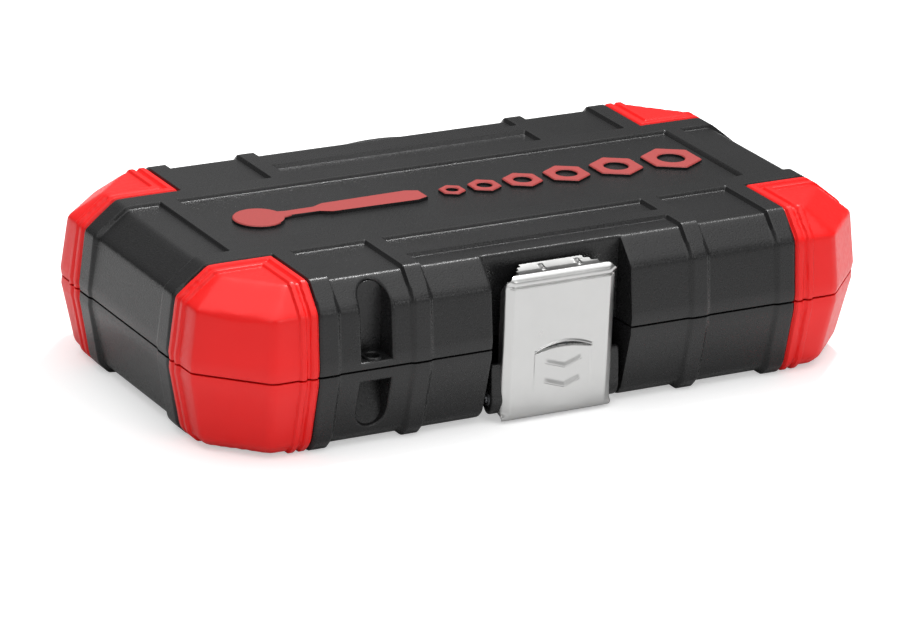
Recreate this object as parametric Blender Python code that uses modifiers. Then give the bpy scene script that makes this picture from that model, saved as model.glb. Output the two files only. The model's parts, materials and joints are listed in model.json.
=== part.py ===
"""Socket wrench set in a hinged plastic case.

Every piece is placed from the case's own datum: x = 0 and y = 0 in the middle of the case,
z = 0 on the plane where lid and base part. One empty lifts the datum so that the case stands
on z = 0 with its box centred over the origin. The latch side faces -Y. Units are metres.
"""
import math

import bmesh
import bpy
from mathutils import Matrix, Vector

# ---- case -----------------------------------------------------------------------------
LENGTH = 0.2450          # end wall to end wall at the parting plane
DEPTH = 0.1360           # front wall to back wall at the parting plane
CORNER_CUT = 0.0194      # how much the slanted corner takes off each side
LID_HEIGHT = 0.0282
BASE_DEPTH = 0.0257
PART_GAP = 0.0003        # lid to base, all the way round
LID_CHAMFER = 0.0080     # height of the slope between lid wall and lid top
LID_CHAMFER_END = 0.0102     # how far the slope runs in at the two ends
LID_CHAMFER_SIDE = 0.0076    # the same at front, back
LID_DRAFT = 0.0027       # how far the lid wall leans in by the foot of the slope
BASE_CHAMFER = 0.0030
BASE_DRAFT = 0.0052
RIB_PROUD = 0.0013       # ribs above the panels
FOOT_PROUD = 0.0015
LID_HOLLOW_KNEE = 0.0017     # the hollow's wall ends this far below the slope's foot
LID_HOLLOW_TOP = (0.0152, 0.0128, 0.0175)    # its inset under the lid's top: ends, sides, corners
BASE_HOLLOW_LEAN = 0.8   # the base's hollow leans in by this share of the wall's draft
RIM_WIDTH = 0.0050       # flat face of lid and base on the parting plane
TONGUE_WIDTH = 0.0016
TONGUE_RISE = 0.0020
TOP_WALL = 0.0024
FLOOR_WALL = 0.0024
FIT_GAP = 0.0003         # between pieces that touch

# ---- ribs, each from its inner to its outer side ---------------------------------------
LONG_RIB = (0.0249, 0.0330)
CROSS_RIB = (0.0916, 0.0980)
OUTER_RIB = (0.0800, 0.0869)
INNER_RIB = (0.0475, 0.0540)
SECOND_RIB = (0.0435, 0.0495)

# ---- corner guards ---------------------------------------------------------------------
GUARD_START_X = 0.0872
GUARD_START_Y = 0.0336
GUARD_SKIN = 0.0024      # thickness at the parting plane
GUARD_TOP_SKIN = 0.0007  # depth of the guard's seat under the panel's top
GUARD_BODY = 0.0005      # smooth part of the guard above the panel
SEAT_LEAN = 0.0011       # how much deeper the seat is where the wall meets the slope
RIDGE_STARTS = (0.0012, 0.0050)
RIDGE_WIDTH = 0.0022

# ---- latch -----------------------------------------------------------------------------
RECESS_HALF = 0.0252
RECESS_LID_Y = -0.0575   # back wall of the recess in the lid
RECESS_BASE_Y = -0.0530
PLATE_HALF = 0.0202
PLATE_TOP = 0.0222
PLATE_BOTTOM = -0.0260
PLATE_FACE_Y = -0.0662
PLATE_SHEET = 0.0010
PLATE_FLANGE = 0.0040
PLATE_FOOT = 0.0020      # height of the bend at the plate's foot
PLATE_FOOT_RUN = 0.0012  # how far that bend runs back
PLATE_ROLL = 0.0022      # outer radius of the roll at its top
FLANGE_FOOT = 0.0024     # the flanges start this far above the plate's foot
HOOK_START = 0.0036      # the hook is narrower than the plate from here on back
HOOK_REACH = 0.0075      # from the plate's face back to the hook's edge
HOOK_RISE = 0.0016       # the hook climbs towards its edge
HOOK_HALF = 0.0130
LATCH_AXIS_Y = -0.0615
LATCH_AXIS_Z = -0.0190
LATCH_PIN_R = 0.0018
LATCH_PIN_BITE = 0.0022  # how far each pin end goes into the wall of the recess
KNUCKLE_R = 0.0048
CARRIER_TOP = 0.0150
CARRIER_THICK = 0.0040
CARRIER_FOOT = 0.0026    # the carrier starts this far above the plate's foot
CARRIER_WAIST = 0.0080   # and is as thick as its knuckle up to here, above the pin
CATCH_HALF = 0.0160
CATCH_TOP = 0.0205
CATCH_HEIGHT = 0.0030
CATCH_NOSE = 0.0012      # height of its front edge
CATCH_ROOT = 0.0020      # how much taller it is at the wall
CATCH_BITE = 0.0005      # how far it goes into the wall
SIDE_WALL = 0.0045       # wall beside and behind the recess

# ---- slot for a padlock -----------------------------------------------------------------
SLOT_X = -0.0666
SLOT_WIDTH = 0.0107
SLOT_BACK_Y = -0.0590
SLOT_FLOOR = 0.0026
SLOT_TOP = 0.0266
SLOT_BASE_TOP = -0.0042
SLOT_BASE_LOW = -0.0205
SLOT_BASE_BACK = (0.0010, -0.0030)   # its back wall at the top and at the bottom, from the lid's
LOCK_HOLE_CLEAR = 0.0100     # the hole's cutter goes this far below the base's slot
LOCK_HOLE_RISE = 0.0025      # and this far above the lid's
SLOT_WALL = 0.0022
LOCK_HOLE_R = 0.0024
LOCK_HOLE_Y = -0.0635

# ---- hinge -----------------------------------------------------------------------------
HINGE_PIN_R = 0.0015
HINGE_BARREL_R = 0.0042
LID_KNUCKLE_HALF = 0.0100
BASE_KNUCKLE_END = 0.0220
HOUSING_HALF = 0.0226
HOUSING_TOP = 0.0268
HOUSING_GAP = 0.0010     # housing above the barrels
HOUSING_SWELL = 0.0008   # housing behind the barrels
HOUSING_SHOULDER = (0.0010, 0.0215)  # where its back turns in: out from the wall, height
HOUSING_WAIST = 0.0120   # height at which its back starts to lean in
HOUSING_CREST = 0.0050   # its top starts this far inside the wall
HOUSING_ROOT = 0.0140    # and runs in this far
HOUSING_ROOT_Z = 0.0200

# ---- foam ------------------------------------------------------------------------------
FOAM_TOP = -0.0020
FOAM_SPLIT = -0.0102
FOAM_GAP = 0.0004
POCKET_GAP = 0.0006
FLOOR_GAP = 0.0003
PAD_LOW = 0.0176
PAD_HALF_X = 0.1020
PAD_HALF_Y = 0.0520
PAD_CUT = 0.0160

# ---- tools -----------------------------------------------------------------------------
MM = 0.001
DRIVE = 0.00635          # the square that every tool shares
SOCKET_SIZES = (4.0, 4.5, 5.0, 5.5, 6.0, 7.0, 8.0, 9.0, 10.0, 11.0, 12.0, 13.0, 14.0)
SOCKET_LENGTH = 0.0250
SOCKET_FOOT = -0.0180
SOCKET_ROW_Y = 0.0430
SOCKET_SPACING = 0.0023
SOCKET_MIN_R = 0.0059
HEX_DEPTH = 0.0110
SQUARE_DEPTH = 0.0100

RATCHET_X = -0.0900
RATCHET_Y = 0.0150
HEAD_R = 0.0127
HEAD_LOW = -0.0092
HEAD_TOP = 0.0015
HEAD_BORE_R = 0.0096
HEAD_SKIN = 0.0020
NECK_HALF = 0.0050
NECK_THICK = 0.0080
SHANK_R = 0.0038
SHANK_END = 0.0300
GRIP_START = -0.0480
GRIP_END = 0.0520
GRIP_HALF_Y = 0.0110
GRIP_HALF_Z = 0.0075
GRIP_Z = -0.0038
BOSS_R = 0.0046
BUTTON_R = 0.0031
BUTTON_TOP = 0.0046
BUTTON_TRAVEL = 0.0012
LEVER_R = 0.0085
LEVER_REACH = 0.0160
LEVER_HALF = 0.0026
LEVER_THICK = 0.0018
COVER_R = 0.0112
COVER_THICK = 0.0010
HUB_NECK_R = 0.0054

BAR_R = 0.0031
BAR_HEAD_R = 0.0060
BAR_HEAD_LENGTH = 0.0180
BAR_Y = -0.0080
BAR_Z = -0.0060
BAR_LONG = (-0.1060, -0.0060)
BAR_SHORT = (0.0040, 0.0540)
SQUARE_LENGTH = 0.0075

SPIN_Y = -0.0310
SPIN_Z = -0.0010
SPIN_GRIP_R = 0.0138
SPIN_GRIP = (-0.1040, -0.0140)
SPIN_SHAFT_R = 0.0035
SPIN_SHAFT_END = 0.0440
SPIN_SEAT_DEPTH = 0.0300

UJ_X = 0.0900
UJ_Y = -0.0080
UJ_FOOT = -0.0215
UJ_CENTRE = -0.0035
UJ_R = 0.0060
UJ_TOP = 0.0145
FORK_HALF = 0.0031       # half the gap between a fork's arms
FORK_ARM_HALF = 0.0023   # half the width of an arm, so it swings in the other fork's gap
FORK_REACH = 0.0024      # how far the arms end beyond the cross's middle
FORK_ROOT = 0.0050       # how far their root lies on the other side of it
CROSS_HALF = 0.0026
TRUNNION_R = 0.0012
UJ_CLEAR_R = 0.0110

BIT_R = 0.00367
BIT_LENGTH = 0.0250
BIT_FOOT = -0.0180
BIT_ROWS_Y = (-0.0250, -0.0360, -0.0470)
BIT_COLUMNS_X = (0.0580, 0.0690, 0.0800, 0.0910)
ADAPTER_X = 0.0720
ADAPTER_Y = -0.0080
ADAPTER_R = 0.0056

FINGER_R = 0.0085

ROUND = 20               # sides of a round piece
FINE_ROUND = 16
REACH = 0.2000           # longer than anything a cutter has to pass through

SPAN_X = LENGTH / 2
SPAN_Y = DEPTH / 2
WALL_TOP = LID_HEIGHT - LID_CHAMFER
WALL_LOW = -(BASE_DEPTH - BASE_CHAMFER)
FLOOR_Z = -(BASE_DEPTH + FOOT_PROUD)
HINGE_Y = SPAN_Y + FIT_GAP + HINGE_BARREL_R
HOUSING_LOW = HINGE_BARREL_R + HOUSING_GAP
BACK_Y = HINGE_Y + HINGE_BARREL_R + HOUSING_SWELL
MIDDLE_Y = (BACK_Y - SPAN_Y) / 2

COLOURS = {
    "black_case": ((0.035, 0.035, 0.036), 0.55, 0.0),
    "red_guard": ((0.80, 0.035, 0.028), 0.42, 0.0),
    "bright_steel": ((0.70, 0.70, 0.71), 0.25, 1.0),
    "chrome_steel": ((0.78, 0.78, 0.79), 0.16, 1.0),
    "dark_steel": ((0.26, 0.26, 0.27), 0.35, 1.0),
    "black_foam": ((0.03, 0.03, 0.03), 0.95, 0.0),
    "red_foam": ((0.55, 0.03, 0.03), 0.95, 0.0),
    "black_grip": ((0.03, 0.03, 0.03), 0.60, 0.0),
    "red_grip": ((0.72, 0.03, 0.03), 0.50, 0.0),
}


# ---- scene, materials and small helpers -------------------------------------------------
def clear_scene():
    for thing in list(bpy.data.objects):
        bpy.data.objects.remove(thing, do_unlink=True)


def make_collection(name):
    collection = bpy.data.collections.new(name)
    bpy.context.scene.collection.children.link(collection)
    return collection


clear_scene()
PARTS = make_collection("socket_wrench_set")
CUTTERS = make_collection("cutters")

DATUM = bpy.data.objects.new("datum", None)
DATUM.location = (0, -MIDDLE_Y, -FLOOR_Z)
PARTS.objects.link(DATUM)


def material(name, node):
    """A Principled material of its own for each piece, in one of the set's finishes."""
    colour, roughness, metallic = COLOURS[name]
    made = bpy.data.materials.new(f"{node}_{name}")
    made.use_nodes = True
    shader = made.node_tree.nodes["Principled BSDF"]
    shader.inputs["Base Color"].default_value = (*colour, 1)
    shader.inputs["Roughness"].default_value = roughness
    shader.inputs["Metallic"].default_value = metallic
    made.diffuse_color = (*colour, 1)
    return made


def piece(name, mesh, finish, at=(0, 0, 0), parent=None):
    made = bpy.data.objects.new(name, mesh)
    PARTS.objects.link(made)
    made.parent = parent or DATUM
    made.location = at
    made.data.materials.append(material(finish, name))
    return made


def tool(name, mesh, at=(0, 0, 0), parent=None):
    """A cutter or guide shape, kept out of the finished set."""
    made = bpy.data.objects.new(name, mesh)
    CUTTERS.objects.link(made)
    made.parent = parent or DATUM
    made.location = at
    made.hide_render = True
    made.display_type = "WIRE"
    return made


def boolean(target, operation, *others):
    for other in others:
        step = target.modifiers.new(f"{operation.lower()} {other.name}"[:60], "BOOLEAN")
        step.operation = operation
        step.solver = "EXACT"
        step.object = other
    return target


def cut(target, *others):
    return boolean(target, "DIFFERENCE", *others)


def join(target, *others):
    return boolean(target, "UNION", *others)


def keep(target, *others):
    return boolean(target, "INTERSECT", *others)


def mesh_from(name, build):
    """A new mesh filled by a function that works on a bmesh."""
    shape = bmesh.new()
    build(shape)
    made = bpy.data.meshes.new(name)
    shape.to_mesh(made)
    shape.free()
    return made


def box(name, low, high):
    size = [h - l for l, h in zip(low, high)]
    middle = [(h + l) / 2 for l, h in zip(low, high)]

    def build(shape):
        bmesh.ops.create_cube(shape, size=1)
        bmesh.ops.scale(shape, vec=size, verts=shape.verts)
        bmesh.ops.translate(shape, vec=middle, verts=shape.verts)
    return mesh_from(name, build)


def rod(name, radius, start, end, axis="Z", sides=ROUND, tip=None):
    """A cylinder, prism or cone along an axis, from start to end."""
    turn = {"Z": Matrix(), "X": Matrix.Rotation(math.pi / 2, 4, "Y"),
            "Y": Matrix.Rotation(-math.pi / 2, 4, "X")}[axis]
    along = {"X": Vector((1, 0, 0)), "Y": Vector((0, 1, 0)), "Z": Vector((0, 0, 1))}[axis]

    def build(shape):
        bmesh.ops.create_cone(shape, cap_ends=True, segments=sides, radius1=radius,
                              radius2=radius if tip is None else tip, depth=end - start)
        bmesh.ops.rotate(shape, cent=(0, 0, 0), matrix=turn, verts=shape.verts)
        bmesh.ops.translate(shape, vec=along * (start + end) / 2, verts=shape.verts)
    return mesh_from(name, build)


def square_rod(name, width, start, end, axis="Z"):
    """A square bar with its flats square to the other two axes."""
    half = width / 2
    low = [-half, -half, -half]
    high = [half, half, half]
    at = "XYZ".index(axis)
    low[at] = start
    high[at] = end
    return box(name, low, high)


def hexagon_rod(name, flats, start, end):
    return rod(name, flats / math.sqrt(3), start, end, sides=6)


def hull(name, points):
    def build(shape):
        for point in points:
            shape.verts.new(point)
        made = bmesh.ops.convex_hull(shape, input=shape.verts)
        spare = {v for v in made["geom_unused"] + made["geom_interior"]
                 if isinstance(v, bmesh.types.BMVert)}
        bmesh.ops.delete(shape, geom=list(spare), context="VERTS")
        bmesh.ops.recalc_face_normals(shape, faces=shape.faces)
        bmesh.ops.dissolve_limit(shape, angle_limit=0.001, verts=shape.verts, edges=shape.edges)
    return mesh_from(name, build)


def extrude_x(name, outline, half):
    """A flat (y, z) outline given the thickness 2 * half along X."""
    def build(shape):
        front = [shape.verts.new((-half, y, z)) for y, z in outline]
        face = shape.faces.new(front)
        grown = bmesh.ops.extrude_face_region(shape, geom=[face])["geom"]
        corners = [v for v in grown if isinstance(v, bmesh.types.BMVert)]
        bmesh.ops.translate(shape, vec=(2 * half, 0, 0), verts=corners)
        bmesh.ops.recalc_face_normals(shape, faces=shape.faces)
    return mesh_from(name, build)


def arc(centre, radius, start, end, steps):
    """Points on an arc in the (y, z) plane, angles in degrees from +y towards +z."""
    angles = [math.radians(start + (end - start) * i / steps) for i in range(steps + 1)]
    return [(centre[0] + radius * math.cos(a), centre[1] + radius * math.sin(a)) for a in angles]


def turned(name, profile, finish, at, axis="Z", sides=ROUND):
    """A turned piece: (radius, height) points down its outer side, carried round by a Screw."""
    def build(shape):
        points = [shape.verts.new((r, 0, z)) for r, z in profile]
        for a, b in zip(points, points[1:]):
            shape.edges.new((a, b))
    made = piece(name, mesh_from(name, build), finish, at)
    screw = made.modifiers.new("turn", "SCREW")
    screw.steps = sides
    screw.render_steps = sides
    screw.use_merge_vertices = True
    screw.merge_threshold = 0.00001
    screw.use_smooth_shade = True
    if axis == "X":
        made.rotation_euler = (0, math.pi / 2, 0)
    return made


# ---- the case's block shapes ------------------------------------------------------------
def outline(inset_x, inset_y, inset_corner):
    """The eight plan corners of the case with its ends, sides and corners drawn in."""
    x = SPAN_X - inset_x
    y = SPAN_Y - inset_y
    reach = SPAN_X + SPAN_Y - CORNER_CUT - math.sqrt(2) * inset_corner
    quarter = [(x, reach - x), (reach - y, y)]
    return [(sx * a, sy * b) for a, b in quarter for sx in (-1, 1) for sy in (-1, 1)]


def block(name, levels):
    """A block through outlines at several heights: each level is z, then its three insets."""
    points = []
    for z, inset_x, inset_y, inset_corner in levels:
        points += [(x, y, z) for x, y in outline(inset_x, inset_y, inset_corner)]
    return hull(name, points)


def lid_levels(sink_wall, sink_slope, sink_top, sink_foot=0.0, foot=PART_GAP / 2):
    """The lid's outer shape moved in by an amount at its foot, its shoulder and its top."""
    shoulder = LID_DRAFT + sink_wall
    top_x = LID_DRAFT + LID_CHAMFER_END + sink_slope
    top_y = LID_DRAFT + LID_CHAMFER_SIDE + sink_slope
    return [(foot, sink_foot, sink_foot, sink_foot),
            (WALL_TOP - sink_slope * 0.45, shoulder, shoulder, shoulder),
            (LID_HEIGHT - sink_top, top_x, top_y, (top_x + top_y) / 2 + 0.0016)]


def base_levels(sink_wall, sink_low, sink_floor, sink_foot=0.0, foot=-PART_GAP / 2):
    """The same for the base, downwards."""
    shoulder = BASE_DRAFT + sink_wall
    low = BASE_DRAFT + BASE_CHAMFER + sink_low
    return [(foot, sink_foot, sink_foot, sink_foot),
            (WALL_LOW + sink_low * 0.5, shoulder, shoulder, shoulder),
            (-(BASE_DEPTH - sink_floor), low, low, low)]


def rib_prisms(name, low, high):
    """The grid of ribs in plan, as one solid."""
    prisms = []
    for side in (-1, 1):
        y = sorted(side * value for value in LONG_RIB)
        prisms.append(box(name, (-REACH, y[0], low), (REACH, y[1], high)))
        x = sorted(side * value for value in CROSS_RIB)
        prisms.append(box(name, (x[0], -LONG_RIB[1], low), (x[1], LONG_RIB[1], high)))
        y = sorted(side * value for value in SECOND_RIB)
        prisms.append(box(name, (-INNER_RIB[1], y[0], low), (INNER_RIB[1], y[1], high)))
        for rib in (OUTER_RIB, INNER_RIB):
            x = sorted(side * value for value in rib)
            for end in (-1, 1):
                y = sorted((end * LONG_RIB[0], end * REACH))
                prisms.append(box(name, (x[0], y[0], low), (x[1], y[1], high)))
    grid = tool(name, prisms[0])
    for index, prism in enumerate(prisms[1:]):
        join(grid, tool(f"{name}_{index}", prism))
    return grid


def corner_cutter(name, core, low, high):
    """What the guards take from the shell: the four corners, outside the core block."""
    start_x = GUARD_START_X - FIT_GAP
    start_y = GUARD_START_Y - FIT_GAP
    cutter = tool(name, box(name, (-REACH, -REACH, low), (REACH, REACH, high)))
    middle = tool(f"{name}_middle", box(name, (-start_x, -2 * REACH, low - FIT_GAP),
                                        (start_x, 2 * REACH, high + FIT_GAP)))
    strip = tool(f"{name}_strip", box(name, (-2 * REACH, -start_y, low - FIT_GAP),
                                      (2 * REACH, start_y, high + FIT_GAP)))
    return cut(cutter, middle, strip, core)


def ridges(name, envelope, low, high):
    """The two raised ridges along both free edges of every guard."""
    strips = []
    for start in RIDGE_STARTS:
        for side in (-1, 1):
            x = sorted(side * (GUARD_START_X + start + add) for add in (0, RIDGE_WIDTH))
            y = sorted(side * (GUARD_START_Y + start + add) for add in (0, RIDGE_WIDTH))
            strips.append(box(name, (x[0], -REACH, low), (x[1], REACH, high)))
            strips.append(box(name, (-REACH, y[0], low), (REACH, y[1], high)))
    grid = tool(name, strips[0])
    for index, strip in enumerate(strips[1:]):
        join(grid, tool(f"{name}_{index}", strip))
    inner_x, inner_y = (start + min(RIDGE_STARTS) for start in (GUARD_START_X, GUARD_START_Y))
    across = box(name, (-inner_x, -2 * REACH, 2 * low), (inner_x, 2 * REACH, 2 * high))
    along = box(name, (-2 * REACH, -inner_y, 2 * low), (2 * REACH, inner_y, 2 * high))
    cut(grid, tool(f"{name}_across", across), tool(f"{name}_along", along))
    return keep(grid, envelope)


def guards(half, body, ridge, seat, low, high):
    """Four guards on one half of the case, each the guard shape kept to its own corner."""
    shape = block(f"{half}_guard", body)
    for x_name, sx in (("left", -1), ("right", 1)):
        for y_name, sy in (("front", -1), ("back", 1)):
            name = f"{half}_guard_{y_name}_{x_name}"
            x = sorted((sx * GUARD_START_X, sx * REACH))
            y = sorted((sy * GUARD_START_Y, sy * REACH))
            corner = tool(f"{name}_corner", box(name, (x[0], y[0], low), (x[1], y[1], high)))
            guard = piece(name, shape.copy(), "red_guard")
            join(guard, ridge)
            cut(guard, seat)
            keep(guard, corner)


def bulkheads(name, recess_y, low, high, grow=0.0):
    """Material kept around the latch recess and the padlock slot, out of the hollow."""
    side = RECESS_HALF + SIDE_WALL + grow
    back = recess_y + SIDE_WALL / 2 + grow
    slot = SLOT_WIDTH / 2 + SLOT_WALL + grow
    recess = tool(f"{name}_recess", box(name, (-side, -REACH, low), (side, back, high)))
    slot_box = box(name, (SLOT_X - slot, -REACH, low),
                   (SLOT_X + slot, SLOT_BACK_Y + SLOT_WALL + grow, high))
    return recess, tool(f"{name}_slot", slot_box)


def lock_hole():
    return tool("lock_hole", rod("lock_hole", LOCK_HOLE_R, SLOT_BASE_TOP - LOCK_HOLE_CLEAR,
                                 SLOT_FLOOR + LOCK_HOLE_RISE, sides=12),
                (SLOT_X, LOCK_HOLE_Y, 0))


# ---- lid --------------------------------------------------------------------------------
def lid_slot():
    """Arched pocket in the lid's front wall."""
    half = SLOT_WIDTH / 2
    arch = arc((0, SLOT_TOP - half), half, 0, 180, 8)
    points = [(-half, SLOT_FLOOR), (half, SLOT_FLOOR)] + arch

    def build(shape):
        face = shape.faces.new([shape.verts.new((x, 0, z)) for x, z in points])
        grown = bmesh.ops.extrude_face_region(shape, geom=[face])["geom"]
        corners = [v for v in grown if isinstance(v, bmesh.types.BMVert)]
        bmesh.ops.translate(shape, vec=(0, -REACH, 0), verts=corners)
        bmesh.ops.recalc_face_normals(shape, faces=shape.faces)
    return tool("lid_slot", mesh_from("lid_slot", build), (SLOT_X, SLOT_BACK_Y, 0))


def hinge_housing():
    """The hump on the lid's back that reaches down to its knuckle."""
    profile = [(SPAN_Y - RIM_WIDTH, HOUSING_LOW), (BACK_Y, HOUSING_LOW),
               (BACK_Y - HOUSING_SWELL, HOUSING_WAIST),
               (SPAN_Y + HOUSING_SHOULDER[0], HOUSING_SHOULDER[1]),
               (SPAN_Y - HOUSING_CREST, HOUSING_TOP), (SPAN_Y - HOUSING_ROOT, HOUSING_TOP),
               (SPAN_Y - HOUSING_ROOT, HOUSING_ROOT_Z)]
    return tool("hinge_housing", extrude_x("hinge_housing", profile, HOUSING_HALF))


def lid_knuckle():
    web = tool("lid_web", box("lid_web", (-LID_KNUCKLE_HALF, SPAN_Y - RIM_WIDTH, PART_GAP / 2),
                              (LID_KNUCKLE_HALF, HINGE_Y, HOUSING_LOW + HOUSING_GAP)))
    barrel = rod("lid_barrel", HINGE_BARREL_R, -LID_KNUCKLE_HALF, LID_KNUCKLE_HALF, "X",
                 FINE_ROUND)
    return join(tool("lid_barrel", barrel, (0, HINGE_Y, 0)), web)


def hinge_bore():
    bore = rod("hinge_bore", HINGE_PIN_R + FIT_GAP, -REACH / 4, REACH / 4, "X", FINE_ROUND)
    return tool("hinge_bore", bore, (0, HINGE_Y, 0))


def lid_shell(bore, hole):
    core = tool("lid_core", block("lid_core", lid_levels(
        GUARD_TOP_SKIN + SEAT_LEAN + FIT_GAP, *(GUARD_TOP_SKIN + FIT_GAP,) * 2,
        GUARD_SKIN + FIT_GAP, -PART_GAP)))
    ribs = keep(rib_prisms("lid_ribs", 0, LID_HEIGHT + RIB_PROUD * 2),
                tool("lid_rib_block", block("lid_rib_block", lid_levels(
                    -RIB_PROUD, -RIB_PROUD / 2, -RIB_PROUD))))
    hollow = tool("lid_hollow", block("lid_hollow", [
        (-RIM_WIDTH, RIM_WIDTH, RIM_WIDTH, RIM_WIDTH),
        (TONGUE_RISE, RIM_WIDTH, RIM_WIDTH, RIM_WIDTH),
        (WALL_TOP - LID_HOLLOW_KNEE, *(RIM_WIDTH + LID_DRAFT,) * 3),
        (LID_HEIGHT - TOP_WALL, *LID_HOLLOW_TOP)]))
    cut(hollow, *bulkheads("lid_keep", RECESS_LID_Y, -REACH, REACH))
    recess = tool("lid_recess", box("lid_recess", (-RECESS_HALF, -REACH, -REACH),
                                    (RECESS_HALF, RECESS_LID_Y, REACH)))
    catch = tool("catch", extrude_x("catch", [
        (RECESS_LID_Y + CATCH_BITE, CATCH_TOP - CATCH_HEIGHT - CATCH_ROOT),
        (RECESS_LID_Y + CATCH_BITE, CATCH_TOP),
        (PLATE_FACE_Y + HOOK_REACH + FIT_GAP, CATCH_TOP),
        (PLATE_FACE_Y + HOOK_REACH + FIT_GAP, CATCH_TOP - CATCH_NOSE)], CATCH_HALF))
    shell = piece("lid_shell", block("lid_shell", lid_levels(0, 0, 0)), "black_case")
    join(shell, ribs)
    cut(shell, corner_cutter("lid_corners", core, -REACH, REACH))
    join(shell, hinge_housing())
    cut(shell, hollow, recess, lid_slot(), hole)
    join(shell, catch, lid_knuckle())
    cut(shell, bore)
    guard_body = lid_levels(-GUARD_BODY, -GUARD_BODY / 2, -GUARD_BODY)
    seat = tool("lid_guard_seat", block("lid_guard_seat", lid_levels(
        GUARD_TOP_SKIN + SEAT_LEAN, GUARD_TOP_SKIN, GUARD_TOP_SKIN, GUARD_SKIN, -PART_GAP)))
    envelope = tool("lid_ridge_block", block("lid_ridge_block", lid_levels(
        -RIB_PROUD, -RIB_PROUD / 2, -RIB_PROUD)))
    guards("lid", guard_body, ridges("lid_ridges", envelope, -REACH, REACH), seat,
           -REACH, REACH)


# ---- base -------------------------------------------------------------------------------
def base_slot():
    back_top, back_low = (SLOT_BACK_Y + step for step in SLOT_BASE_BACK)
    profile = [(back_top, SLOT_BASE_TOP), (-REACH, SLOT_BASE_TOP),
               (-REACH, SLOT_BASE_LOW), (back_low, SLOT_BASE_LOW)]
    return tool("base_slot", extrude_x("base_slot", profile, SLOT_WIDTH / 2), (SLOT_X, 0, 0))


def base_knuckles():
    """Two barrels beside the lid's one, each on a web from the back wall."""
    made = []
    for side in (-1, 1):
        ends = sorted((side * (LID_KNUCKLE_HALF + FIT_GAP), side * BASE_KNUCKLE_END))
        name = f"base_barrel_{'left' if side < 0 else 'right'}"
        barrel = tool(name, rod(name, HINGE_BARREL_R, *ends, "X", FINE_ROUND), (0, HINGE_Y, 0))
        web = box(name, (ends[0], SPAN_Y - RIM_WIDTH, -HINGE_BARREL_R),
                  (ends[1], HINGE_Y, -PART_GAP / 2))
        made.append(join(barrel, tool(f"{name}_web", web)))
    return made


def base_tongue():
    """The rim that stands up inside the lid."""
    outer = RIM_WIDTH + FOAM_GAP
    tongue = tool("tongue", block("tongue", [
        (-RIM_WIDTH, outer, outer, outer), (TONGUE_RISE, outer, outer, outer)]))
    side = RECESS_HALF + SIDE_WALL + TONGUE_WIDTH
    slot = SLOT_WIDTH / 2 + SLOT_WALL + TONGUE_WIDTH
    gate = tool("tongue_gate", box("tongue_gate", (-side, -REACH, -PART_GAP / 2),
                                   (side, RECESS_LID_Y + SIDE_WALL, REACH)))
    slot_gate = tool("tongue_slot_gate", box("tongue_slot_gate",
                                             (SLOT_X - slot, -REACH, -PART_GAP / 2),
                                             (SLOT_X + slot, SLOT_BACK_Y + SIDE_WALL, REACH)))
    return cut(tongue, gate, slot_gate)


def base_shell(bore, hole):
    core = tool("base_core", block("base_core", base_levels(
        GUARD_TOP_SKIN + SEAT_LEAN + FIT_GAP, *(GUARD_TOP_SKIN + FIT_GAP,) * 2,
        GUARD_SKIN + FIT_GAP, PART_GAP)))
    ribs = keep(rib_prisms("base_ribs", -BASE_DEPTH - FOOT_PROUD * 2, 0),
                tool("base_rib_block", block("base_rib_block", base_levels(
                    -RIB_PROUD, -RIB_PROUD / 2, -FOOT_PROUD))))
    inner = RIM_WIDTH + FOAM_GAP + TONGUE_WIDTH
    hollow = tool("base_hollow", block("base_hollow", [
        (RIM_WIDTH, inner, inner, inner),
        (-(BASE_DEPTH - FLOOR_WALL), *(inner + BASE_DRAFT * BASE_HOLLOW_LEAN,) * 3)]))
    cut(hollow, *bulkheads("base_keep", RECESS_BASE_Y, -REACH, REACH))
    recess = tool("base_recess", box("base_recess", (-RECESS_HALF, -REACH, -REACH),
                                     (RECESS_HALF, RECESS_BASE_Y, REACH)))
    shell = piece("base_shell", block("base_shell", base_levels(0, 0, 0)), "black_case")
    join(shell, ribs)
    cut(shell, corner_cutter("base_corners", core, -REACH, REACH))
    join(shell, base_tongue())
    cut(shell, hollow, recess, base_slot(), hole)
    join(shell, *base_knuckles())
    pin_seat = rod("latch_pin_seat", LATCH_PIN_R + FIT_GAP, *latch_pin_ends(FIT_GAP), "X",
                   FINE_ROUND)
    cut(shell, bore, tool("latch_pin_seat", pin_seat, (0, LATCH_AXIS_Y, LATCH_AXIS_Z)))
    guard_body = base_levels(-GUARD_BODY, -GUARD_BODY / 2, -GUARD_BODY)
    seat = tool("base_guard_seat", block("base_guard_seat", base_levels(
        GUARD_TOP_SKIN + SEAT_LEAN, GUARD_TOP_SKIN, GUARD_TOP_SKIN, GUARD_SKIN, PART_GAP)))
    envelope = tool("base_ridge_block", block("base_ridge_block", base_levels(
        -RIB_PROUD, -RIB_PROUD / 2, -RIB_PROUD)))
    guards("base", guard_body, ridges("base_ridges", envelope, -REACH, REACH), seat,
           -REACH, REACH)


def hinge_pin():
    end = BASE_KNUCKLE_END - FIT_GAP
    piece("hinge_pin", rod("hinge_pin", HINGE_PIN_R, -end, end, "X", FINE_ROUND),
          "bright_steel", (0, HINGE_Y, 0))


# ---- latch ------------------------------------------------------------------------------
def latch_pin_ends(extra=0.0):
    end = RECESS_HALF + LATCH_PIN_BITE + extra
    return -end, end


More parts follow.
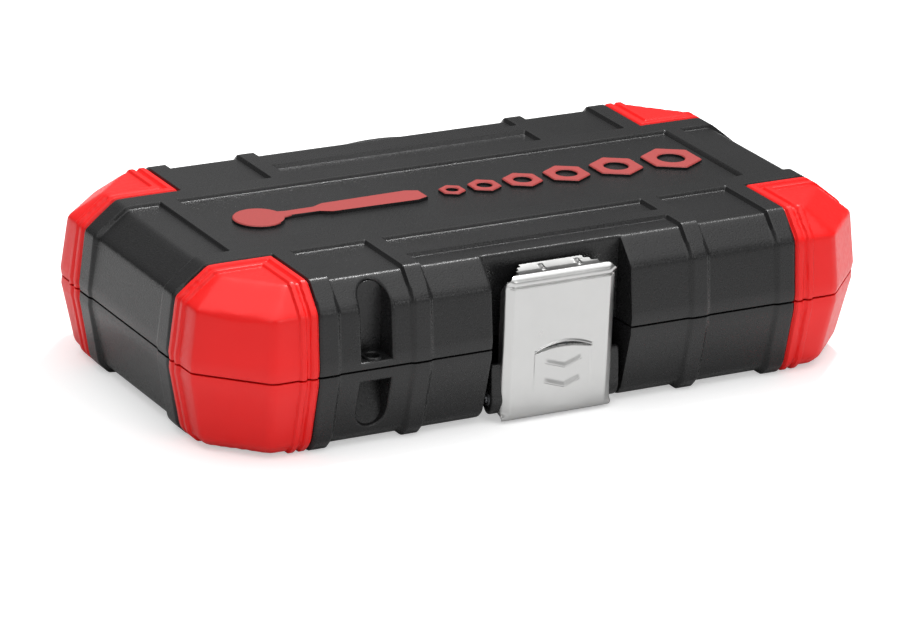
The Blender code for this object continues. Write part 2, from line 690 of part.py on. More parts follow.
def latch_plate(pivot):
    """Pressed sheet with side flanges and a hook rolled back over the catch."""
    face = PLATE_FACE_Y
    roll = PLATE_ROLL
    foot = PLATE_BOTTOM + PLATE_FOOT
    inner = face + PLATE_SHEET
    profile = [(face, foot), (face + PLATE_FOOT_RUN, PLATE_BOTTOM),
               (inner + PLATE_FOOT_RUN / 2, PLATE_BOTTOM), (inner, foot)]
    profile += [(y, z) for y, z in arc((face + roll, PLATE_TOP - roll), roll - PLATE_SHEET,
                                       180, 90, 4)]
    edge = face + HOOK_REACH
    profile += [(edge, PLATE_TOP - PLATE_SHEET + HOOK_RISE), (edge, PLATE_TOP + HOOK_RISE)]
    profile += arc((face + roll, PLATE_TOP - roll), roll, 90, 180, 4)
    mesh = extrude_x("latch_plate", profile, PLATE_HALF)
    made = piece("latch_plate", mesh, "bright_steel", parent=pivot)
    for side in (-1, 1):
        x = sorted((side * (PLATE_HALF - PLATE_SHEET), side * PLATE_HALF))
        name = "flange_left" if side < 0 else "flange_right"
        flange = box(name, (x[0], face + PLATE_SHEET / 2, PLATE_BOTTOM + FLANGE_FOOT),
                     (x[1], face + PLATE_FLANGE, PLATE_TOP - roll))
        x = sorted((side * HOOK_HALF, side * REACH))
        corner = box(name, (x[0], face + HOOK_START, PLATE_TOP - PLATE_SHEET * 1.5),
                     (x[1], face + REACH, PLATE_TOP + 2 * HOOK_RISE))
        join(made, tool(name, flange, parent=pivot))
        cut(made, tool(f"{name}_corner", corner, parent=pivot))
    return made


def latch_carrier(pivot):
    """Plastic lever that fills the plate and ends in the knuckle on the pin."""
    half = PLATE_HALF - PLATE_SHEET - FIT_GAP
    front = PLATE_FACE_Y + PLATE_SHEET + FIT_GAP
    knuckle = arc((LATCH_AXIS_Y, LATCH_AXIS_Z), KNUCKLE_R, -110, 60, 10)
    profile = [(front, CARRIER_TOP), (front, PLATE_BOTTOM + CARRIER_FOOT)] + knuckle
    profile += [(front + CARRIER_THICK, LATCH_AXIS_Z + CARRIER_WAIST),
                (front + CARRIER_THICK, CARRIER_TOP)]
    made = piece("latch_carrier", extrude_x("latch_carrier", profile, half), "black_case",
                 parent=pivot)
    return made


def latch():
    pivot = bpy.data.objects.new("latch_pivot", None)
    PARTS.objects.link(pivot)
    pivot.parent = DATUM
    pivot.location = (0, LATCH_AXIS_Y, LATCH_AXIS_Z)
    bore_mesh = rod("latch_bore", LATCH_PIN_R + FIT_GAP, -REACH / 4, REACH / 4, "X", FINE_ROUND)
    bore = tool("latch_bore", bore_mesh, (0, LATCH_AXIS_Y, LATCH_AXIS_Z), parent=pivot)
    for made in (latch_plate(pivot), latch_carrier(pivot)):
        made.location = (0, -LATCH_AXIS_Y, -LATCH_AXIS_Z)
        cut(made, bore)
    for helper in CUTTERS.objects:
        if helper.parent == pivot:
            helper.location -= pivot.location
    piece("latch_pin", rod("latch_pin", LATCH_PIN_R, *latch_pin_ends(), "X", FINE_ROUND),
          "bright_steel", (0, LATCH_AXIS_Y, LATCH_AXIS_Z))


# ---- turned tools -----------------------------------------------------------------------
def socket_radius(size):
    """Outer radius of a socket of a given hexagon, from its wall thickness."""
    wall = 0.0010 + 0.00008 * size
    return size * MM / math.sqrt(3) + wall


def socket_places():
    """Each socket's size and x, in one row with even gaps, centred in the case."""
    wide = [2 * max(SOCKET_MIN_R, socket_radius(size)) for size in SOCKET_SIZES]
    x = -(sum(wide) + SOCKET_SPACING * (len(wide) - 1)) / 2
    places = []
    for size, width in zip(SOCKET_SIZES, wide):
        places.append((size, x + width / 2, width / 2))
        x += width + SOCKET_SPACING
    return places


def socket_name(size):
    return f"socket_{size:g}".replace(".", "_")


def socket(size, x, radius):
    """Standing socket, hexagon up and square down, necked between if the hexagon is small."""
    name = socket_name(size)
    nose = socket_radius(size)
    low = SOCKET_FOOT
    top = low + SOCKET_LENGTH
    edge = 0.0005
    profile = [(0, top), (nose - edge, top), (nose, top - edge)]
    if nose < radius:
        profile += [(nose, top - HEX_DEPTH), (radius, top - HEX_DEPTH - 0.0030)]
    profile += [(radius, low + edge), (radius - edge, low), (0, low)]
    made = turned(name, profile, "chrome_steel", (x, SOCKET_ROW_Y, 0))
    mouth = hexagon_rod(f"{name}_hexagon", size * MM, top - HEX_DEPTH, top + edge)
    square = square_rod(f"{name}_square", DRIVE + FIT_GAP, low - edge, low + SQUARE_DEPTH)
    bore_r = min(size * MM, DRIVE) * 0.45
    bore = rod(f"{name}_bore", bore_r, low + SQUARE_DEPTH / 2, top - HEX_DEPTH / 2, sides=12)
    at = (x, SOCKET_ROW_Y, 0)
    return cut(made, tool(f"{name}_hexagon", mouth, at), tool(f"{name}_square", square, at),
               tool(f"{name}_bore", bore, at))


def extension(name, ends):
    """Bar with a socketed head at its left end and a driving square at its right."""
    start, end = ends
    shoulder = end - SQUARE_LENGTH
    head = start + BAR_HEAD_LENGTH
    profile = [(0, shoulder), (BAR_HEAD_R - 0.0014, shoulder), (BAR_HEAD_R - 0.0010, shoulder - 0.0010),
               (BAR_HEAD_R - 0.0010, shoulder - 0.0070), (BAR_R, shoulder - 0.0095),
               (BAR_R, head), (BAR_HEAD_R, head - 0.0030), (BAR_HEAD_R, start + 0.0006),
               (BAR_HEAD_R - 0.0006, start), (0, start)]
    at = (0, BAR_Y, BAR_Z)
    made = turned(name, profile, "chrome_steel", at, "X", FINE_ROUND)
    tip = square_rod(f"{name}_tip", DRIVE, shoulder - 0.0010, end, "X")
    mouth = square_rod(f"{name}_mouth", DRIVE + FIT_GAP, start - 0.0010, start + 0.0090, "X")
    join(made, tool(f"{name}_tip", tip, at))
    return cut(made, tool(f"{name}_mouth", mouth, at))


def spinner():
    start, end = SPIN_GRIP
    at = (0, SPIN_Y, SPIN_Z)
    big = SPIN_GRIP_R
    waist = big - 0.0030
    profile = [(0, end), (waist - 0.0030, end), (waist - 0.0010, end - 0.0030),
               (waist, end - 0.0120), (big - 0.0006, end - 0.0270), (big, end - 0.0450),
               (big, start + 0.0160), (big - 0.0020, start + 0.0050), (big - 0.0060, start),
               (0, start)]
    grip = turned("spinner_grip", profile, "red_grip", at, "X")
    seat = rod("spinner_seat", SPIN_SHAFT_R + FIT_GAP, end - SPIN_SEAT_DEPTH - FIT_GAP,
               end + 0.0100, "X", FINE_ROUND)
    cut(grip, tool("spinner_seat", seat, at))
    shoulder = SPIN_SHAFT_END - SQUARE_LENGTH
    collar = SPIN_SHAFT_R + 0.0016
    shaft = [(0, shoulder), (collar - 0.0005, shoulder), (collar, shoulder - 0.0006),
             (collar, shoulder - 0.0080), (SPIN_SHAFT_R, shoulder - 0.0100),
             (SPIN_SHAFT_R, end - SPIN_SEAT_DEPTH), (0, end - SPIN_SEAT_DEPTH)]
    made = turned("spinner_shaft", shaft, "chrome_steel", at, "X", FINE_ROUND)
    tip = square_rod("spinner_tip", DRIVE, shoulder - 0.0010, SPIN_SHAFT_END, "X")
    join(made, tool("spinner_tip", tip, at))


def bit(name, x, y):
    """Six-sided bit standing on its shank, with a necked and tapered tip."""
    low = BIT_FOOT
    top = low + BIT_LENGTH
    profile = [(0, top), (0.0014, top), (0.0022, top - 0.0060), (0.0024, top - 0.0085),
               (BIT_R, top - 0.0110), (BIT_R, low + 0.0006), (BIT_R - 0.0006, low), (0, low)]
    return turned(name, profile, "dark_steel", (x, y, 0), sides=6)


def bits():
    index = 0
    for y in BIT_ROWS_Y:
        for x in BIT_COLUMNS_X:
            index += 1
            bit(f"bit_{index}", x, y)


def bit_adapter():
    low = BIT_FOOT
    top = low + BIT_LENGTH
    r = ADAPTER_R
    profile = [(0, top), (r - 0.0005, top), (r, top - 0.0005), (r, top - 0.0090),
               (r - 0.0006, top - 0.0095), (r - 0.0006, top - 0.0110), (r, top - 0.0115),
               (r, low + 0.0005), (r - 0.0005, low), (0, low)]
    at = (ADAPTER_X, ADAPTER_Y, 0)
    made = turned("bit_adapter", profile, "chrome_steel", at)
    mouth = hexagon_rod("adapter_hexagon", DRIVE + FIT_GAP, top - 0.0120, top + 0.0010)
    square = square_rod("adapter_square", DRIVE + FIT_GAP, low - 0.0010, low + 0.0090)
    cut(made, tool("adapter_hexagon", mouth, at), tool("adapter_square", square, at))


# ---- ratchet ----------------------------------------------------------------------------
def ratchet_body():
    at = (RATCHET_X, RATCHET_Y, 0)
    body = piece("ratchet_body", rod("ratchet_body", HEAD_R, HEAD_LOW, HEAD_TOP, sides=28),
                 "chrome_steel", at)
    middle = (HEAD_LOW + HEAD_TOP) / 2
    root = GRIP_START - RATCHET_X
    neck = hull("neck", [(x, sy * wide, middle + sz * tall)
                         for x, wide, tall in ((HEAD_R * 0.6, HEAD_R * 0.72, NECK_THICK / 2),
                                               (HEAD_R * 1.6, NECK_HALF, NECK_THICK / 2),
                                               (root - FIT_GAP, NECK_HALF, NECK_THICK / 2))
                         for sy in (-1, 1) for sz in (-1, 1)])
    shank = rod("shank", SHANK_R, root - 0.0050, SHANK_END - RATCHET_X, "X", 12)
    boss = rod("boss", BOSS_R, HEAD_TOP - HEAD_SKIN / 2, HEAD_TOP + LEVER_THICK + 0.0004,
               sides=ROUND)
    join(body, tool("neck", neck, at), tool("shank", shank, (RATCHET_X, RATCHET_Y, GRIP_Z)),
         tool("boss", boss, at))
    bore = rod("head_bore", HEAD_BORE_R, HEAD_LOW - 0.0010, HEAD_TOP - HEAD_SKIN, sides=28)
    seat = rod("cover_seat", COVER_R + FIT_GAP, HEAD_LOW - 0.0010,
               HEAD_LOW + COVER_THICK + FIT_GAP, sides=28)
    well = rod("button_well", BUTTON_R + FIT_GAP, HEAD_LOW, BUTTON_TOP, sides=ROUND)
    cut(body, tool("head_bore", bore, at), tool("cover_seat", seat, at),
        tool("button_well", well, at))


def ratchet_drive():
    """Toothed hub inside the head, with the driving square below it."""
    top = HEAD_TOP - HEAD_SKIN - FIT_GAP
    ledge = HEAD_LOW + COVER_THICK + FIT_GAP * 2
    foot = HEAD_LOW - 0.0006
    at = (RATCHET_X, RATCHET_Y, 0)
    hub_r = HEAD_BORE_R - FIT_GAP
    profile = [(0, top), (hub_r, top), (hub_r, ledge), (HUB_NECK_R, ledge), (HUB_NECK_R, foot),
               (0, foot)]
    drive = turned("ratchet_drive", profile, "chrome_steel", at)
    square = square_rod("drive_square", DRIVE, foot - SQUARE_LENGTH, foot + 0.0010)
    join(drive, tool("drive_square", square, at))
    bore = rod("button_bore", BUTTON_R + FIT_GAP, top - 0.0045, top + 0.0010, sides=ROUND)
    cut(drive, tool("button_bore", bore, at))


def ratchet_button():
    """Release button, down the middle of the head, with room below for its travel."""
    low = HEAD_TOP - HEAD_SKIN - FIT_GAP - 0.0045 + FIT_GAP + BUTTON_TRAVEL
    profile = [(0, BUTTON_TOP), (BUTTON_R - 0.0007, BUTTON_TOP), (BUTTON_R, BUTTON_TOP - 0.0006),
               (BUTTON_R, low), (0, low)]
    turned("ratchet_button", profile, "chrome_steel", (RATCHET_X, RATCHET_Y, 0))


def ratchet_lever():
    """Reversing lever: a ring round the boss with a thumb tab over the head's edge."""
    low = HEAD_TOP + FIT_GAP
    high = low + LEVER_THICK
    at = (RATCHET_X, RATCHET_Y, 0)
    lever = piece("ratchet_lever", rod("ratchet_lever", LEVER_R, low, high, sides=24),
                  "black_grip", at)
    tab = box("lever_tab", (-LEVER_REACH, -LEVER_HALF, low), (-LEVER_R * 0.7, LEVER_HALF, high))
    hole = rod("lever_hole", BOSS_R + FIT_GAP, low - 0.0010, high + 0.0010, sides=ROUND)
    join(lever, tool("lever_tab", tab, at))
    cut(lever, tool("lever_hole", hole, at))


def ratchet_cover():
    at = (RATCHET_X, RATCHET_Y, 0)
    cover = piece("ratchet_cover", rod("ratchet_cover", COVER_R, HEAD_LOW,
                                       HEAD_LOW + COVER_THICK, sides=28), "chrome_steel", at)
    hole = rod("cover_hole", HUB_NECK_R + FIT_GAP, HEAD_LOW - 0.0010, HEAD_TOP, sides=ROUND)
    cut(cover, tool("cover_hole", hole, at))


def ratchet_grip():
    """Soft grip, an oval that narrows at the neck and swells to the end of the handle."""
    length = GRIP_END - GRIP_START
    sections = ((0.0, 0.62), (0.04, 0.78), (0.30, 0.84), (0.62, 1.0), (0.90, 0.98), (0.98, 0.80),
                (1.0, 0.62))
    sides = 16
    points = [(GRIP_START + length * along, GRIP_HALF_Y * wide * math.cos(a),
               GRIP_HALF_Z * wide * math.sin(a))
              for along, wide in sections
              for a in [2 * math.pi * i / sides for i in range(sides)]]
    at = (0, RATCHET_Y, GRIP_Z)
    grip = piece("ratchet_grip", hull("ratchet_grip", points), "black_grip", at)
    seat = rod("shank_seat", SHANK_R + FIT_GAP, GRIP_START - 0.0020, SHANK_END + FIT_GAP, "X", 12)
    cut(grip, tool("shank_seat", seat, at))


def ratchet():
    ratchet_body()
    ratchet_drive()
    ratchet_button()
    ratchet_lever()
    ratchet_cover()
    ratchet_grip()


# ---- universal joint --------------------------------------------------------------------
def fork_tools(name, axis, up, at):
    """Cutters for a fork: what lies beside its two arms, the gap between them, their hole."""
    root = UJ_CENTRE + up * FORK_ROOT
    z = sorted((root, root - up * REACH))
    across = [REACH, REACH]
    across["XY".index(axis)] = FORK_HALF
    gap = box(f"{name}_gap", (-across[0], -across[1], z[0]), (across[0], across[1], z[1]))
    wide = [FORK_ARM_HALF, FORK_ARM_HALF]
    wide["XY".index(axis)] = 2 * REACH
    arms = box(f"{name}_arms", (-wide[0], -wide[1], -2 * REACH), (wide[0], wide[1], 2 * REACH))
    beside = tool(f"{name}_beside", box(f"{name}_beside", (-REACH, -REACH, z[0]),
                                        (REACH, REACH, z[1])), at)
    cut(beside, tool(f"{name}_arms", arms, at))
    hole = rod(f"{name}_hole", TRUNNION_R + FIT_GAP, -REACH / 8, REACH / 8, axis, 12)
    return (beside, tool(f"{name}_gap", gap, at),
            tool(f"{name}_hole", hole, (at[0], at[1], UJ_CENTRE)))


def universal_joint():
    """Two forks at right angles on one cross; the lower one stands in the foam."""
    at = (UJ_X, UJ_Y, 0)
    end = UJ_CENTRE + FORK_REACH
    lower = turned("joint_lower", [(0, end), (UJ_R - 0.0012, end), (UJ_R, end - 0.0016),
                                   (UJ_R, UJ_FOOT + 0.0005), (UJ_R - 0.0005, UJ_FOOT),
                                   (0, UJ_FOOT)], "chrome_steel", at)
    mouth = square_rod("joint_square", DRIVE + FIT_GAP, UJ_FOOT - 0.0010, UJ_FOOT + 0.0090)
    cut(lower, *fork_tools("fork_lower", "Y", -1, at), tool("joint_square", mouth, at))
    end = UJ_CENTRE - FORK_REACH
    neck = UJ_TOP - SQUARE_LENGTH
    upper = turned("joint_upper", [(0, neck), (UJ_R - 0.0009, neck), (UJ_R - 0.0004, neck - 0.0005),
                                   (UJ_R, end + 0.0016), (UJ_R - 0.0012, end), (0, end)],
                   "chrome_steel", at)
    tip = square_rod("joint_tip", DRIVE, neck - 0.0010, UJ_TOP)
    cut(upper, *fork_tools("fork_upper", "X", 1, at))
    join(upper, tool("joint_tip", tip, at))
    cross()


def cross():
    half = CROSS_HALF
    reach = UJ_R - 0.0004
    at = (UJ_X, UJ_Y, UJ_CENTRE)
    block_mesh = box("joint_cross", (-half, -half, -half), (half, half, half))
    made = piece("joint_cross", block_mesh, "dark_steel", at)
    for axis in "XY":
        trunnion = rod(f"trunnion_{axis}", TRUNNION_R, -reach, reach, axis, 12)
        join(made, tool(f"trunnion_{axis}", trunnion, at))


# ---- foam -------------------------------------------------------------------------------
def pockets():
    """Upright cut-outs for every tool, each wider than its tool by the pocket gap."""
    made = []

    def sink(name, mesh, at):
        made.append(tool(f"pocket_{name}", mesh, at))

    high = REACH / 4
    floor = SOCKET_FOOT - FLOOR_GAP
    for size, x, radius in socket_places():
        sink(socket_name(size), rod("pocket", radius + POCKET_GAP, floor, high, sides=16),
             (x, SOCKET_ROW_Y, 0))
    for row, y in enumerate(BIT_ROWS_Y):
        for column, x in enumerate(BIT_COLUMNS_X):
            sink(f"bit_{row}_{column}", rod("pocket", BIT_R + POCKET_GAP, floor, high, sides=6),
                 (x, y, 0))
    sink("adapter", rod("pocket", ADAPTER_R + POCKET_GAP, floor, high, sides=12),
         (ADAPTER_X, ADAPTER_Y, 0))
    sink("joint", rod("pocket", UJ_R + POCKET_GAP, UJ_FOOT - FLOOR_GAP, high, sides=16),
         (UJ_X, UJ_Y, 0))
    sink("joint_swing", rod("pocket", UJ_CLEAR_R, FOAM_SPLIT - 0.0010, high, sides=16),
         (UJ_X, UJ_Y, 0))
    head_floor = HEAD_LOW - FLOOR_GAP
    sink("head", rod("pocket", HEAD_R + POCKET_GAP, head_floor, high, sides=24),
         (RATCHET_X, RATCHET_Y, 0))
    sink("drive", rod("pocket", HUB_NECK_R + POCKET_GAP, HEAD_LOW - SQUARE_LENGTH - 0.0016, high,
                      sides=12), (RATCHET_X, RATCHET_Y, 0))
    grip_floor = GRIP_Z - GRIP_HALF_Z - FLOOR_GAP
    wide = GRIP_HALF_Y + POCKET_GAP
    sink("neck", box("pocket", (RATCHET_X, -HEAD_R * 0.72, head_floor),
                     (GRIP_START, HEAD_R * 0.72, high)), (0, RATCHET_Y, 0))
    sink("grip", box("pocket", (GRIP_START - POCKET_GAP, -wide, grip_floor),
                     (GRIP_END + POCKET_GAP, wide, high)), (0, RATCHET_Y, 0))
    head = BAR_HEAD_R + POCKET_GAP
    bar_floor = BAR_Z - BAR_HEAD_R - FLOOR_GAP
    for name, (start, end) in (("long", BAR_LONG), ("short", BAR_SHORT)):
        sink(f"bar_{name}", box("pocket", (start - POCKET_GAP, -head, bar_floor),
                                (end + POCKET_GAP, head, high)), (0, BAR_Y, 0))
    thick = SPIN_GRIP_R + POCKET_GAP
    start, end = SPIN_GRIP
    sink("spinner_grip", box("pocket", (start - POCKET_GAP, -thick, SPIN_Z - SPIN_GRIP_R - FLOOR_GAP),
                             (end + POCKET_GAP, thick, high)), (0, SPIN_Y, 0))
    collar = SPIN_SHAFT_R + 0.0016 + POCKET_GAP
    sink("spinner_shaft", box("pocket", (end, -collar, SPIN_Z - collar),
                              (SPIN_SHAFT_END + POCKET_GAP, collar, high)), (0, SPIN_Y, 0))
    for name, x, y in finger_places():
        sink(name, rod("pocket", FINGER_R, FOAM_SPLIT - 0.0012, high, sides=16), (x, y, 0))
    return made


def finger_places():
    """Round notches that let fingers get under the long tools."""
    grip_middle = (GRIP_START + GRIP_END) / 2
    bar_middle = sum(BAR_LONG) / 2
    return (("finger_grip", grip_middle + 0.0100, RATCHET_Y + GRIP_HALF_Y),
            ("finger_bar", bar_middle, BAR_Y + 0.0030),
            ("finger_spinner", SPIN_SHAFT_END - 0.0220, SPIN_Y))


def foam(cutouts):
    inner = RIM_WIDTH + FOAM_GAP * 2 + TONGUE_WIDTH
    slope = BASE_DRAFT * BASE_HOLLOW_LEAN / (BASE_DEPTH - FLOOR_WALL + RIM_WIDTH)
    low = -(BASE_DEPTH - FLOOR_WALL) + FLOOR_GAP

    def inset(z):
        return inner + (RIM_WIDTH - z) * slope

    for name, top, bottom, finish in (
            ("foam_upper", FOAM_TOP, FOAM_SPLIT + FLOOR_GAP / 2, "black_foam"),
            ("foam_lower", FOAM_SPLIT - FLOOR_GAP / 2, low, "red_foam")):
        levels = [(z, inset(z), inset(z), inset(z)) for z in (top, bottom)]
        made = piece(name, block(name, levels), finish)
        keeps = bulkheads(f"{name}_keep", RECESS_BASE_Y, -REACH, REACH, FOAM_GAP)
        cut(made, *keeps, *cutouts)


def lid_pad():
    """Soft pad glued under the lid's top."""
    top = LID_HEIGHT - TOP_WALL - FLOOR_GAP
    reach = PAD_HALF_X + PAD_HALF_Y - PAD_CUT
    corners = [(sx * a, sy * b) for a, b in ((PAD_HALF_X, reach - PAD_HALF_X),
                                             (reach - PAD_HALF_Y, PAD_HALF_Y))
               for sx in (-1, 1) for sy in (-1, 1)]
    piece("lid_pad", hull("lid_pad", [(x, y, z) for x, y in corners for z in (PAD_LOW, top)]),
          "black_foam")


def main():
    bore = hinge_bore()
    hole = lock_hole()
    lid_shell(bore, hole)
    base_shell(bore, hole)
    hinge_pin()
    latch()
    for size, x, radius in socket_places():
        socket(size, x, radius)
    extension("extension_long", BAR_LONG)
    extension("extension_short", BAR_SHORT)
    spinner()
    bits()
    bit_adapter()
    ratchet()
    universal_joint()
    foam(pockets())
    lid_pad()


main()
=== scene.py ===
"""Looks of a socket wrench set: fine surfaces, finishes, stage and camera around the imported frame."""

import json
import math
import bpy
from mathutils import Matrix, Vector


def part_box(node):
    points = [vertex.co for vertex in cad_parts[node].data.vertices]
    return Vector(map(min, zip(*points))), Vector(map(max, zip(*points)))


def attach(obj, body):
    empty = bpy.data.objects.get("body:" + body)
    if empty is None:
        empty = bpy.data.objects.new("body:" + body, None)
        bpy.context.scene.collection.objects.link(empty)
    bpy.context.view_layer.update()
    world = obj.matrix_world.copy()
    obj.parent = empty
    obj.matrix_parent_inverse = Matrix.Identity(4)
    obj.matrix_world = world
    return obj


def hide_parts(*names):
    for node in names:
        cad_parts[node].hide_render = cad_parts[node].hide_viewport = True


bl_info = {
    "name": "Socket Wrench Set Looks",
    "version": (1, 0, 0),
    "blender": (4, 5, 0),
    "location": "View3D > Sidebar > Socket Set",
    "description": "Fine surfaces and finishes for a socket wrench set in its case",
    "category": "Object",
}

import bmesh
import bpy
import numpy as np
from bpy.props import FloatProperty, FloatVectorProperty, PointerProperty
from mathutils import Matrix, Vector

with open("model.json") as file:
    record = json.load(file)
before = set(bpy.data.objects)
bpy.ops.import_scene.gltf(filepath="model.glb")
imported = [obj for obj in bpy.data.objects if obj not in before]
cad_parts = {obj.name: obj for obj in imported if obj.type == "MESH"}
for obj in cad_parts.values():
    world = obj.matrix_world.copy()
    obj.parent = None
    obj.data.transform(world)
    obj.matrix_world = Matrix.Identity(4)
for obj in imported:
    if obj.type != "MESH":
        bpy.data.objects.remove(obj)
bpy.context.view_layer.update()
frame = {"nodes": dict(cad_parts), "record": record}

# Shapes are worked out in millimetres from the case's datum: x = y = 0 in its middle and
# z = 0 on the plane where lid and base part. DATUM is that point in the frame.
MM = 0.001


def frame_box(node):
    """A node's lowest and highest corner in millimetres."""
    low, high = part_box(node)
    return np.array(low) / MM, np.array(high) / MM


LID_FRONT = frame_box("lid_guard_front_left")
LID_BACK = frame_box("lid_guard_back_right")
BASE_FRONT = frame_box("base_guard_front_left")
DATUM = np.array([(LID_FRONT[0][0] + LID_BACK[1][0]) / 2, (LID_FRONT[0][1] + LID_BACK[1][1]) / 2,
                  (LID_FRONT[0][2] + BASE_FRONT[1][2]) / 2])
HALF_GAP = (LID_FRONT[0][2] - BASE_FRONT[1][2]) / 2
SKIN_START = HALF_GAP + 0.2
SPAN_X = (LID_BACK[1][0] - LID_FRONT[0][0]) / 2
SPAN_Y = (LID_BACK[1][1] - LID_FRONT[0][1]) / 2
GUARD_X = DATUM[0] - LID_FRONT[1][0]
GUARD_Y = DATUM[1] - LID_FRONT[1][1]
CORNER_CUT = 19.4

LONG_RIB = (24.9, 33.0)
CROSS_RIB = (91.6, 98.0)
OUTER_RIB = (80.0, 86.9)
INNER_RIB = (47.5, 54.0)
SECOND_RIB = (43.5, 49.5)
LID_RIB_HEIGHT = 1.3
BASE_RIB_HEIGHT = 1.5
RECESS_HALF = 25.2
LID_RECESS_Y = -57.5
BASE_RECESS_Y = -53.0
SIDE_WALL = 4.5
SLOT_X = -66.6
SLOT_HALF = 5.35
SLOT_BACK_Y = -59.0

# (wall height, wall lean, slope height, slope run at the ends, at the sides, at the corners)
LID_FORM = (20.2, 2.7, 8.0, 10.2, 7.6, 10.5)
BASE_FORM = (22.7, 5.2, 3.0, 3.0, 3.0, 3.0)


# ---- settings ---------------------------------------------------------------------------
class CaseSettings(bpy.types.PropertyGroup):
    """Edges, grid spacing and guard ridges of the moulded case"""
    edge_sharpness: FloatProperty(
        name="Edge sharpness", description="Higher gives the moulded shell tighter edges, per mm",
        default=3.0, min=0.5, max=6.0)
    grid_coarse: FloatProperty(
        name="Open spacing", description="Grid spacing on open panels, mm",
        default=2.4, min=0.5, max=6.0)
    grid_fine: FloatProperty(
        name="Edge spacing", description="Grid spacing beside ribs and edges, mm",
        default=0.36, min=0.2, max=2.0)
    guard_ridge: FloatProperty(
        name="Guard ridge", description="Height of the two ridges on each guard, mm",
        default=0.85, min=0.0, max=2.0)


class FinishSettings(bpy.types.PropertyGroup):
    """Colours of the case, guards and emblem"""
    case_colour: FloatVectorProperty(
        name="Case black", description="Base colour of the case, sRGB", subtype="COLOR",
        default=(0.105, 0.105, 0.107), min=0, max=1)
    guard_colour: FloatVectorProperty(
        name="Guard red", description="Base colour of the guards, sRGB", subtype="COLOR",
        default=(0.91, 0.087, 0.080), min=0, max=1)
    emblem_colour: FloatVectorProperty(
        name="Emblem red", description="Printed colour of the emblem, sRGB", subtype="COLOR",
        default=(0.63, 0.22, 0.21), min=0, max=1)


# ---- surfaces in numpy --------------------------------------------------------------------
def lines(low, high, coarse, fine, marks, reach):
    """Grid lines from low to high: an even coarse set, and a fine set round every mark."""
    count = max(2, int(round((high - low) / coarse)) + 1)
    made = [np.linspace(low, high, count)]
    around = np.arange(-reach, reach + fine / 2, fine)
    made += [mark + around for mark in marks if low - reach < mark < high + reach]
    values = np.unique(np.clip(np.concatenate(made), low, high))
    kept = [values[0]]
    for value in values[1:-1]:
        if value - kept[-1] > fine * 0.6:
            kept.append(value)
    if values[-1] - kept[-1] < fine * 0.6:
        kept.pop()
    return np.array(kept + [values[-1]])


def grid_faces(rows, columns, wrap=False):
    """Quads of a grid whose points are stored row after row."""
    across = columns if wrap else columns - 1
    row, column = np.meshgrid(np.arange(rows - 1), np.arange(across), indexing="ij")
    beside = (column + 1) % columns
    corners = (row * columns + column, row * columns + beside,
               (row + 1) * columns + beside, (row + 1) * columns + column)
    return np.stack([corner.ravel() for corner in corners], axis=1)


def smooth_step(value):
    """0 below 0, 1 above 1 and an S-curve between."""
    value = np.clip(value, 0, 1)
    return value * value * (3 - 2 * value)


def plateau(value, low, high, slope):
    """1 between low and high, 0 outside, with sides that take slope mm to rise."""
    return smooth_step(np.minimum(value - low, high - value) / slope + 0.5)


def soft_max(values, sharpness):
    """The largest of several distances, rounded over where two of them meet."""
    top = values.max(axis=0)
    return top + np.log(np.exp((values - top) * sharpness).sum(axis=0)) / sharpness


def case_planes(form):
    """Walls, slopes and flat of half a case, as unit normals and offsets for |x|, |y| and z."""
    wall_height, lean, slope_height, *runs = form
    half = math.sqrt(0.5)
    corner = (SPAN_X + SPAN_Y - CORNER_CUT) * half
    rows = [(0.0, 0.0, 1.0, wall_height + slope_height)]
    for (nx, ny), reach, run in zip(((1, 0), (0, 1), (half, half)), (SPAN_X, SPAN_Y, corner), runs):
        rows.append((nx * wall_height, ny * wall_height, lean, reach * wall_height))
        foot = (reach - lean) * slope_height + wall_height * run
        rows.append((nx * slope_height, ny * slope_height, run, foot))
    rows = np.array(rows)
    return rows / np.linalg.norm(rows[:, :3], axis=1)[:, None]


def case_distance(points, planes, sharpness):
    """Signed distance to half a case: the rounded maximum of its plane distances."""
    folded = np.abs(points)
    return soft_max(planes[:, :3] @ folded.T - planes[:, 3:], sharpness)


def leave_solid(start, toward, distance, steps=36):
    """Where rays leave a solid: bisection on its signed distance, for all rays together."""
    low = np.zeros(len(start))
    high = np.full(len(start), 1.5)
    for _ in range(steps):
        middle = (low + high) / 2
        inside = distance(start + (toward - start) * middle[:, None]) < 0
        low = np.where(inside, middle, low)
        high = np.where(inside, high, middle)
    return start + (toward - start) * ((low + high) / 2)[:, None]


def from_core(points, core_height):
    """Each point's nearest point in the core block, from which its ray starts."""
    low = np.array([-GUARD_X, -GUARD_Y, 0])
    high = np.array([GUARD_X, GUARD_Y, core_height])
    return np.clip(points, low, high)


def rib_mask(points, slope):
    """1 on the grid of ribs and 0 on the panels, in plan."""
    x, y = np.abs(points[:, 0]), np.abs(points[:, 1])
    outside = smooth_step((y - LONG_RIB[0]) / 2)
    between = smooth_step((INNER_RIB[1] - x) / 2)
    return np.maximum.reduce([
        plateau(y, *LONG_RIB, slope),
        plateau(x, *CROSS_RIB, slope) * (1 - outside),
        plateau(x, *OUTER_RIB, slope) * outside,
        plateau(x, *INNER_RIB, slope) * outside,
        plateau(y, *SECOND_RIB, slope) * between])


def under_guard(points):
    """1 where a corner guard covers the shell."""
    x, y = np.abs(points[:, 0]), np.abs(points[:, 1])
    return ((x > GUARD_X - 0.15) & (y > GUARD_Y - 0.15)).astype(float)


def parting_edge(z):
    """The small round-over where a shell meets the parting plane, in mm drawn in."""
    return 0.6 * (1 - smooth_step((z - SKIN_START) / 0.9))


